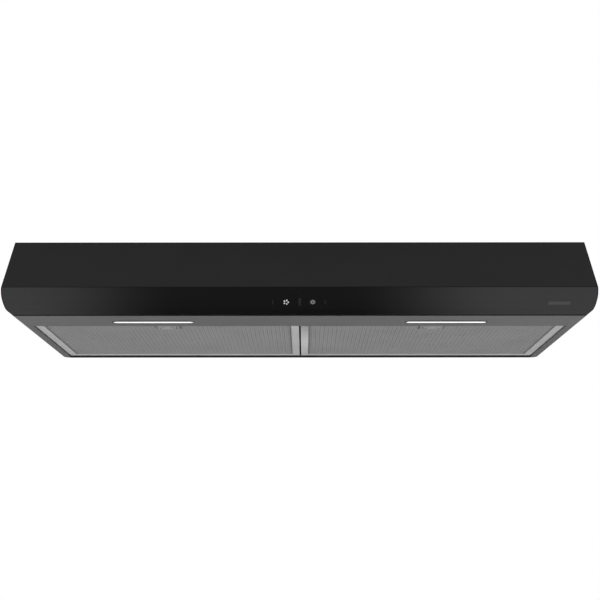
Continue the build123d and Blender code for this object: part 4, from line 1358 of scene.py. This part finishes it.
@dataclass
class GreaseFilter:
    """Aluminium filter: folded frame, two expanded layers over a wool core, and its latch."""

    hood: Hood
    side: Side
    inner_x: float = 1.25
    outer_x: float = 368.0
    start: float = 161.5
    end: float = 459.0
    bottom: float = 2.0
    thickness: float = 9.0
    rail: float = 11.0
    fold: float = 0.6
    groove: float = 4.0
    groove_half: float = 3.2
    mitre_gap: float = 0.2
    pin_depth: float = 454.0
    pin_radius: float = 2.05
    pin_reach: float = 3.7
    case_half: float = 16.0
    case_end: float = 203.0
    case_play: float = 0.05
    spring_end: float = 201.0
    spring_keep: float = 0.59
    cell: Span = (6.0, 4.0)
    strand: float = 0.8
    wave: float = 0.25
    screen_height: float = 0.9
    second_height: float = 1.4
    core_height: float = 2.1
    core_cells: tuple[int, int] = (140, 112)
    core_lumps: Span = (5.0, 1.4)
    core_thickness: float = 1.6
    case_edge: float = 0.4
    bolt_edge: float = 0.25
    spring_edge: float = 0.05
    screen_tuck: float = 2.0
    core_tuck: float = 3.0
    cell_tuck: float = 0.5
    through: Span = (-10.0, 30.0)
    through_front: float = 5.0
    through_rear: float = 2.0
    core_octaves: int = 3

    @property
    def body(self) -> str:
        """CAD body of this filter."""
        return f"filter_{self.side.label}"

    @property
    def middle(self) -> float:
        """X of the latch."""
        return self.side.value * (self.inner_x + self.outer_x) / 2

    @property
    def middle_height(self) -> float:
        """Height of the middle of the rails."""
        return self.bottom + self.thickness / 2

    def spans(self, inset: float) -> tuple[Span, Span]:
        """X and depth spans of the filter, moved inwards."""
        x = self.side.span(self.inner_x + inset, self.outer_x - inset)
        return x, (self.start + inset, self.end - inset)

    def build(self) -> None:
        """Build the frame, the layers and the latch."""
        self.build_frame()
        self.build_layer("screen", self.screen_height, 0.0, [f"filter_mesh_{self.side.label}"])
        self.build_layer("second_screen", self.second_height, 0.5, [])
        self.build_core()
        self.build_latch()

    def build_frame(self) -> None:
        """Four folded rails that meet in mitres."""
        hood, middle = self.hood, self.middle_height
        ring = hood.block("ring", *self.spans(0), (self.bottom, self.bottom + self.thickness))
        Bench.cut(ring, hood.block("inner", *self.spans(self.rail), self.through))
        heights = (middle - self.groove_half, middle + self.groove_half)
        Bench.cut(ring, hood.block("groove", *self.spans(self.groove), heights))
        reach = self.case_half + self.case_play
        x = (self.middle - reach, self.middle + reach)
        depths = (self.start - self.through_front, self.case_end + self.case_play)
        Bench.cut(ring, hood.block("pocket", x, depths, self.through))
        self.cut_pin_slot(ring, self.inner_x, 1)
        self.cut_pin_slot(ring, self.outer_x, -1)
        rails = [self.mitred(ring, outward) for outward in (X_AXIS, -X_AXIS, Y_AXIS, -Y_AXIS)]
        bpy.data.objects.remove(ring)
        piece = Bench.join(f"filter_rails_{self.side.label}", rails)
        Bench.dress(piece, self.body, "filter_rail", stands_for=[f"filter_frame_{self.side.label}"])

    def mitred(self, ring: Piece, outward: Vector) -> Piece:
        """Rail on one side of the ring, cut at 45 degrees at both ends.

        Args:
            ring: all four rails in one.
            outward: direction from the filter's middle to the wanted rail.

        Returns:
            The rail, with rounded folds.
        """
        x, depth = self.spans(0)
        centre = self.hood.at(sum(x) / 2, sum(depth) / 2, self.bottom)
        reach = self.hood.at(x[1], depth[1], self.bottom) - centre
        rail = Bench.copy(ring, "rail")
        for along in (Z_AXIS.cross(outward), outward.cross(Z_AXIS)):
            corner = Vector((outward + along)) * reach
            normal = (along - outward).normalized()
            place = centre + corner - normal * self.mitre_gap / 2 * MM
            with Bench.editing(rail):
                bpy.ops.mesh.select_all(action="SELECT")
                bpy.ops.mesh.bisect(plane_co=place, plane_no=normal, use_fill=True, clear_outer=True)
        Bench.outward(rail)
        return Bench.soften(rail, self.fold, 3)

    def cut_pin_slot(self, piece: Piece, edge: float, inward: int) -> None:
        """Open the slot at the rear of one side rail for its hanger pin.

        Args:
            piece: the ring of rails.
            edge: distance of the rail's outer face from the middle plane.
            inward: sign of the way into the filter from there.
        """
        hood, radius, middle = self.hood, self.pin_radius, self.middle_height
        x = self.side.span(edge - inward, edge + inward * self.pin_reach)
        heights = (middle - radius, middle + radius)
        slot = hood.block("slot", x, (self.pin_depth, self.end + self.through_rear), heights)
        ends = [hood.at(place, self.pin_depth, middle) for place in x]
        Bench.cut(piece, slot, Bench.bar("hole", radius, *ends, 24))

    def build_layer(self, name: str, height: float, shift: float, stands_for: list[str]) -> None:
        """One layer of expanded mesh: diamond cells of round, slightly waved strands.

        Args:
            name: what the layer is called.
            height: above the filter's lower face.
            shift: offset from the first layer, in half cells.
            stands_for: CAD nodes that it replaces.
        """
        x, depth = self.spans(self.rail - self.screen_tuck)
        cell_x, cell_depth = self.cell
        columns = int((x[1] - x[0]) / cell_x) - 1
        rows = int((depth[1] - depth[0]) / cell_depth) - 1
        centre = self.hood.at(
            (x[0] + x[1]) / 2 + shift * cell_x / 2,
            (depth[0] + depth[1]) / 2 + shift * cell_depth / 2,
            self.bottom + height,
        )
        half = Vector((columns * cell_x / 2 * MM, rows * cell_depth / 2 * MM, 0))
        piece = Bench.tile(f"{name}_{self.side.label}", centre - half, centre + half, columns, rows)
        self.open_diamonds(piece)
        self.clear_latch(piece)
        Bench.apply(piece, "WIREFRAME", thickness=self.strand * MM, use_even_offset=False,
                    use_boundary=True, use_replace=True)
        Bench.dress(Bench.smooth(piece, 60), self.body, "filter_mesh", stands_for=stands_for)

    def open_diamonds(self, piece: Piece) -> None:
        """Turn a square grid into diamonds and wave every other crossing upwards.

        Args:
            piece: the grid.
        """
        count = len(piece.data.vertices)
        with Bench.editing(piece, "EDGE"):
            bpy.ops.mesh.select_all(action="SELECT")
            bpy.ops.mesh.poke()
            shape = bmesh.from_edit_mesh(piece.data)
            shape.verts.ensure_lookup_table()
            for vertex in shape.verts[count:]:
                vertex.co.z += self.wave * MM
            for edge in shape.edges:
                edge.select = all(vertex.index < count for vertex in edge.verts) and not edge.is_boundary
            bmesh.update_edit_mesh(piece.data)
            bpy.ops.mesh.dissolve_edges(use_verts=False)

    def clear_latch(self, piece: Piece) -> None:
        """Remove the cells where the latch case sits.

        Args:
            piece: a layer, or the core.
        """
        reach = self.case_half - self.cell_tuck
        low = self.hood.at(self.middle - reach, 0, 0)
        high = self.hood.at(self.middle + reach, self.case_end - self.cell_tuck, 0)
        with Bench.editing(piece, "VERT"):
            shape = bmesh.from_edit_mesh(piece.data)
            for vertex in shape.verts:
                vertex.select = low.x < vertex.co.x < high.x and vertex.co.y < high.y
            shape.select_flush_mode()
            bmesh.update_edit_mesh(piece.data)
            bpy.ops.mesh.delete(type="VERT")

    def build_core(self) -> None:
        """Wool core: a lumpy grey slab behind the expanded layers."""
        x, depth = self.spans(self.rail - self.core_tuck)
        height = self.bottom + self.core_height
        low, high = self.hood.at(x[0], depth[0], height), self.hood.at(x[1], depth[1], height)
        piece = Bench.tile(f"wool_core_{self.side.label}", low, high, *self.core_cells)
        self.clear_latch(piece)
        size, rise = self.core_lumps
        texture = bpy.data.textures.new(f"wool_{self.side.label}", "CLOUDS")
        texture.noise_scale = size * MM
        texture.noise_depth = self.core_octaves
        Bench.apply(piece, "DISPLACE", texture=texture, strength=rise * MM, mid_level=0.5,
                    texture_coords="LOCAL", direction="Z")
        Bench.apply(piece, "SOLIDIFY", thickness=self.core_thickness * MM, offset=1.0)
        Bench.only(Bench.outward(piece))
        bpy.ops.object.shade_smooth()
        Bench.dress(piece, self.body, "filter_core", slot="filter_mesh")

    def build_latch(self) -> None:
        """Case, sprung bolt with the U-shaped finger pull, and the leaf spring."""
        label = self.side.label
        case = soft_copy(f"latch_case_{label}", f"latch_housing_{label}", self.case_edge)
        Bench.dress(case, self.body, "latch_shell", slot="filter_rail",
                    stands_for=[f"latch_case_{label}"])
        bolt = soft_copy(f"latch_bolt_{label}", f"finger_pull_{label}", self.bolt_edge)
        Bench.dress(bolt, f"latch_{label}", "latch_metal", stands_for=[f"latch_bolt_{label}"])
        spring = soft_copy(f"latch_spring_{label}", f"leaf_spring_{label}", self.spring_edge)
        Bench.dress(spring, self.body, "spring_steel", stands_for=[f"latch_spring_{label}"])
        fixed_end = self.hood.at(self.middle, self.spring_end, self.bottom)
        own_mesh(spring)


# ---------------------------------------------------------------- fixings and insides


@dataclass
class Screw:
    """Pan-head screw with a cross recess, modelled once and copied.

    The crown and the recess are given as shares of the head.
    """

    radius: float = 3.8
    head: float = 2.2
    crown: float = 0.55
    recess_reach: float = 0.55
    recess_width: float = 0.25
    recess_floor: float = 0.5
    turn: float = 37.0
    sides: int = 24
    crown_steps: int = 4

    def model(self) -> Piece:
        """Head on the origin, pointing up Z."""
        top = self.head * MM
        piece = Bench.bar("screw", self.radius, Vector((0, 0, 0)), Vector((0, 0, top)), self.sides)
        with Bench.editing(piece, "EDGE"):
            Bench.edges_at(piece, lambda a, b: abs(a.z - top) < 1e-7 and abs(b.z - top) < 1e-7)
            bpy.ops.mesh.bevel(offset=self.head * self.crown * MM, segments=self.crown_steps,
                               affect="EDGES")
        arm, floor = self.radius * self.recess_reach * MM, self.head * self.recess_floor * MM
        narrow = arm * self.recess_width
        for x, y in ((arm, narrow), (narrow, arm)):
            Bench.cut(piece, Bench.block("recess", Vector((-x, -y, floor)), Vector((x, y, 2 * top))))
        return piece

    def group(self, name: str, node: str, places: list[Vector], normal: Vector) -> Piece:
        """Copies of the screw at several places, as one piece.

        Args:
            name: the piece's name.
            node: CAD node that it replaces.
            places: centre of each head's seat.
            normal: direction that the heads point in.

        Returns:
            The joined piece.
        """
        model = self.model()
        upright = normal.to_track_quat("Z", "Y").to_matrix().to_4x4()
        copies = []
        for number, place in enumerate(places):
            copy = Bench.copy(model, "screw")
            spin = Matrix.Rotation(math.radians(self.turn * number), 4, "Z")
            copy.data.transform(Matrix.Translation(place) @ upright @ spin)
            copies.append(copy)
        bpy.data.objects.remove(model)
        piece = Bench.smooth(Bench.join(name, copies))
        Bench.dress(piece, "hood", "zinc_screw", stands_for=[node])
        return piece


@dataclass
class Insides:
    """Duct, blower and electrical parts: rounded copies of their CAD shapes, and screws."""

    hood: Hood
    record: dict
    collar_screw_x: float = 133.0
    collar_screw_depths: Span = (384.0, 442.5)
    sheet_edge: float = 0.3
    rounded: tuple[str, ...] = (
        "duct_collar", "damper_flap", "rear_duct_cover", "discharge_box", "scroll_housing",
        "scroll_floor", "motor_bracket", "front_baffle", "centre_rail", "power_box", "power_box_cover",
        "wiring_box", "wiring_box_cover", "light_tray_left", "light_tray_right", "light_driver",
        "terminal_block", "wheel_nut", "centre_hanger", "side_hanger_left", "side_hanger_right",
        "band_backing",
    )
    other_edges: dict[str, float] = field(default_factory=lambda: {
        "damper_flap": 0.25, "motor_bracket": 0.4, "light_driver": 1.2, "terminal_block": 0.6,
        "wheel_nut": 0.5, "centre_hanger": 0.15, "band_backing": 0.2,
    })

    def build(self) -> None:
        """Dress every node that still shows, and round those with sharp sheet edges."""
        slots = {entry["node"]: entry["material_slot"] for entry in self.record["subparts"]}
        groups = self.record["behaviour"]["bodies"]
        bodies = {node: body for body, nodes in groups.items() for node in nodes}
        for node in self.rounded:
            radius = self.other_edges.get(node, self.sheet_edge)
            piece = soft_copy(node, f"{node}_made", radius)
            Bench.dress(piece, bodies[node], slots[node], stands_for=[node])
        self.build_screws()
        for node, slot in slots.items():
            materials = bpy.data.objects[node].data.materials
            materials.clear()
            materials.append(FINISHES[slot].make())

    def build_screws(self) -> None:
        """Heads of the four screws that hold the duct collar on the top sheet."""
        top = self.hood.height + self.hood.sheet
        places = [self.hood.at(side.value * self.collar_screw_x, depth, top)
                  for side in Side for depth in self.collar_screw_depths]
        Screw().group("collar_screw_heads", "collar_screws", places, Z_AXIS)


# ---------------------------------------------------------------- studio


@dataclass(frozen=True)
class Panel:
    """One square area light: its place, its target and its size are in metres."""

    name: str
    place: Triple
    target: Triple
    size: float
    watts: float

    def hang(self) -> None:
        """Hang the panel and aim it."""
        place = Vector(self.place)
        Bench.clear()
        bpy.ops.object.light_add(type="AREA", location=place)
        lamp = bpy.context.object
        lamp.name = self.name
        lamp.data.size = self.size
        lamp.data.energy = self.watts
        lamp.visible_glossy = False
        lamp.rotation_euler = (Vector(self.target) - place).to_track_quat("-Z", "Y").to_euler()


PANELS = (
    Panel("overhead_panel", (0, -0.4, 1.6), (0, 0, 0), 2.4, 14.0),
    Panel("front_panel", (0, -2.6, 0.5), (0, 0, -0.05), 2.0, 14.0),
    Panel("floor_panel", (0, -0.9, -0.85), (0, 0.1, -0.1), 1.6, 9.0),
)


@dataclass
class Studio:
    """Pale floor, soft lights and the camera."""

    hood: Hood
    distance: float = 1666.0
    drop: float = 304.2
    aside: float = 6.0
    pitch: float = 10.572
    yaw: float = 0.18
    lens: float = 80.2
    sensor: float = 36.0
    clip: Span = (0.05, 60.0)
    dark_aside: float = 0.030
    dark_span: Span = (0.052, 0.197)
    side_levels: Span = (0.21, 1.3)
    rear_curve: Triple = (0.9, -0.5, -0.33)
    top_span: Span = (0.75, 0.97)
    top_level: float = 0.15
    floor_drop: float = 3000.0
    floor_half: float = 25.0

    def build(self) -> None:
        """Build the floor, the world, the lights and the camera."""
        self.build_floor()
        self.build_world()
        for panel in PANELS:
            panel.hang()
        self.build_camera()
        bpy.context.scene.view_settings.view_transform = "Standard"

    def build_floor(self) -> None:
        """Plain pale floor well below the hood."""
        level = Vector((0, 0, self.hood.low.z - self.floor_drop * MM))
        reach = Vector((self.floor_half, self.floor_half, 0))
        floor = Bench.tile("studio_floor", level - reach, level + reach, 4, 4)
        floor.data.materials.append(FINISHES["stage_floor"].make())
        floor.visible_glossy = False

    def build_world(self) -> None:
        """White surround for the camera, and a grey one, darker in the middle, for everything else."""
        world = bpy.data.worlds.new("studio")
        bpy.context.scene.world = world
        graph = Graph(world)
        seen = graph.nodes["Background"]
        graph.feed(seen, {"Color": (1.0, 1.0, 1.0, 1.0), "Strength": 1.0})
        around = graph.add("Background", {"Strength": self.surround(graph)})
        rays = graph.add("LightPath").outputs["Is Camera Ray"]
        mix = graph.add("MixShader", {"Fac": rays, 1: around.outputs[0], 2: seen.outputs[0]})
        graph.feed(graph.nodes["World Output"], {"Surface": mix.outputs[0]})

    def surround(self, graph: Graph) -> Socket:
        """Brightness of the grey surround: dark in the middle, overhead and well behind.

        Args:
            graph: the world's nodes.

        Returns:
            The socket of the brightness.
        """
        direction = graph.add("TexCoord").outputs["Generated"]
        parts = graph.add("SeparateXYZ", {"Vector": direction}).outputs
        sideways = graph.sum("ABSOLUTE", graph.sum("ADD", parts["X"], self.dark_aside), 0.0)
        sides = graph.ramp(sideways, self.dark_span, self.side_levels, "SMOOTHERSTEP")
        start, slope, bow = self.rear_curve
        falling = graph.sum("ADD", graph.sum("MULTIPLY", parts["Y"], bow), slope)
        falling = graph.sum("ADD", graph.sum("MULTIPLY", falling, parts["Y"]), start)
        level = graph.sum("MULTIPLY", sides, graph.sum("MINIMUM", falling, 1.0))
        above = graph.ramp(parts["Z"], self.top_span, (0.0, 1.0), "SMOOTHERSTEP")
        return graph.add("Mix", {"Factor": above, "A": level, "B": self.top_level}).outputs["Result"]

    def build_camera(self) -> None:
        """Camera in front of and below the hood, tilted up."""
        data = bpy.data.cameras.new("camera")
        camera = bpy.data.objects.new("camera", data)
        bpy.context.scene.collection.objects.link(camera)
        camera.location = self.hood.at(self.aside, -self.distance, -self.drop)
        camera.rotation_euler = (math.radians(90 + self.pitch), 0, math.radians(self.yaw))
        data.sensor_width = self.sensor
        data.lens = self.lens
        data.clip_start, data.clip_end = self.clip
        bpy.context.scene.camera = camera


def main() -> None:
    """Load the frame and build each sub-assembly."""
    logging.basicConfig(level=logging.INFO, format="%(name)s %(message)s")
    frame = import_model()
    Bench.clear()
    hood = Hood().read()
    Shell(hood).build()
    ControlBand(hood).build()
    Underside(hood).build()
    for side in Side:
        GreaseFilter(hood, side).build()
    Insides(hood, frame["record"]).build()
    Studio(hood).build()


if __name__ == "__main__":
    main()
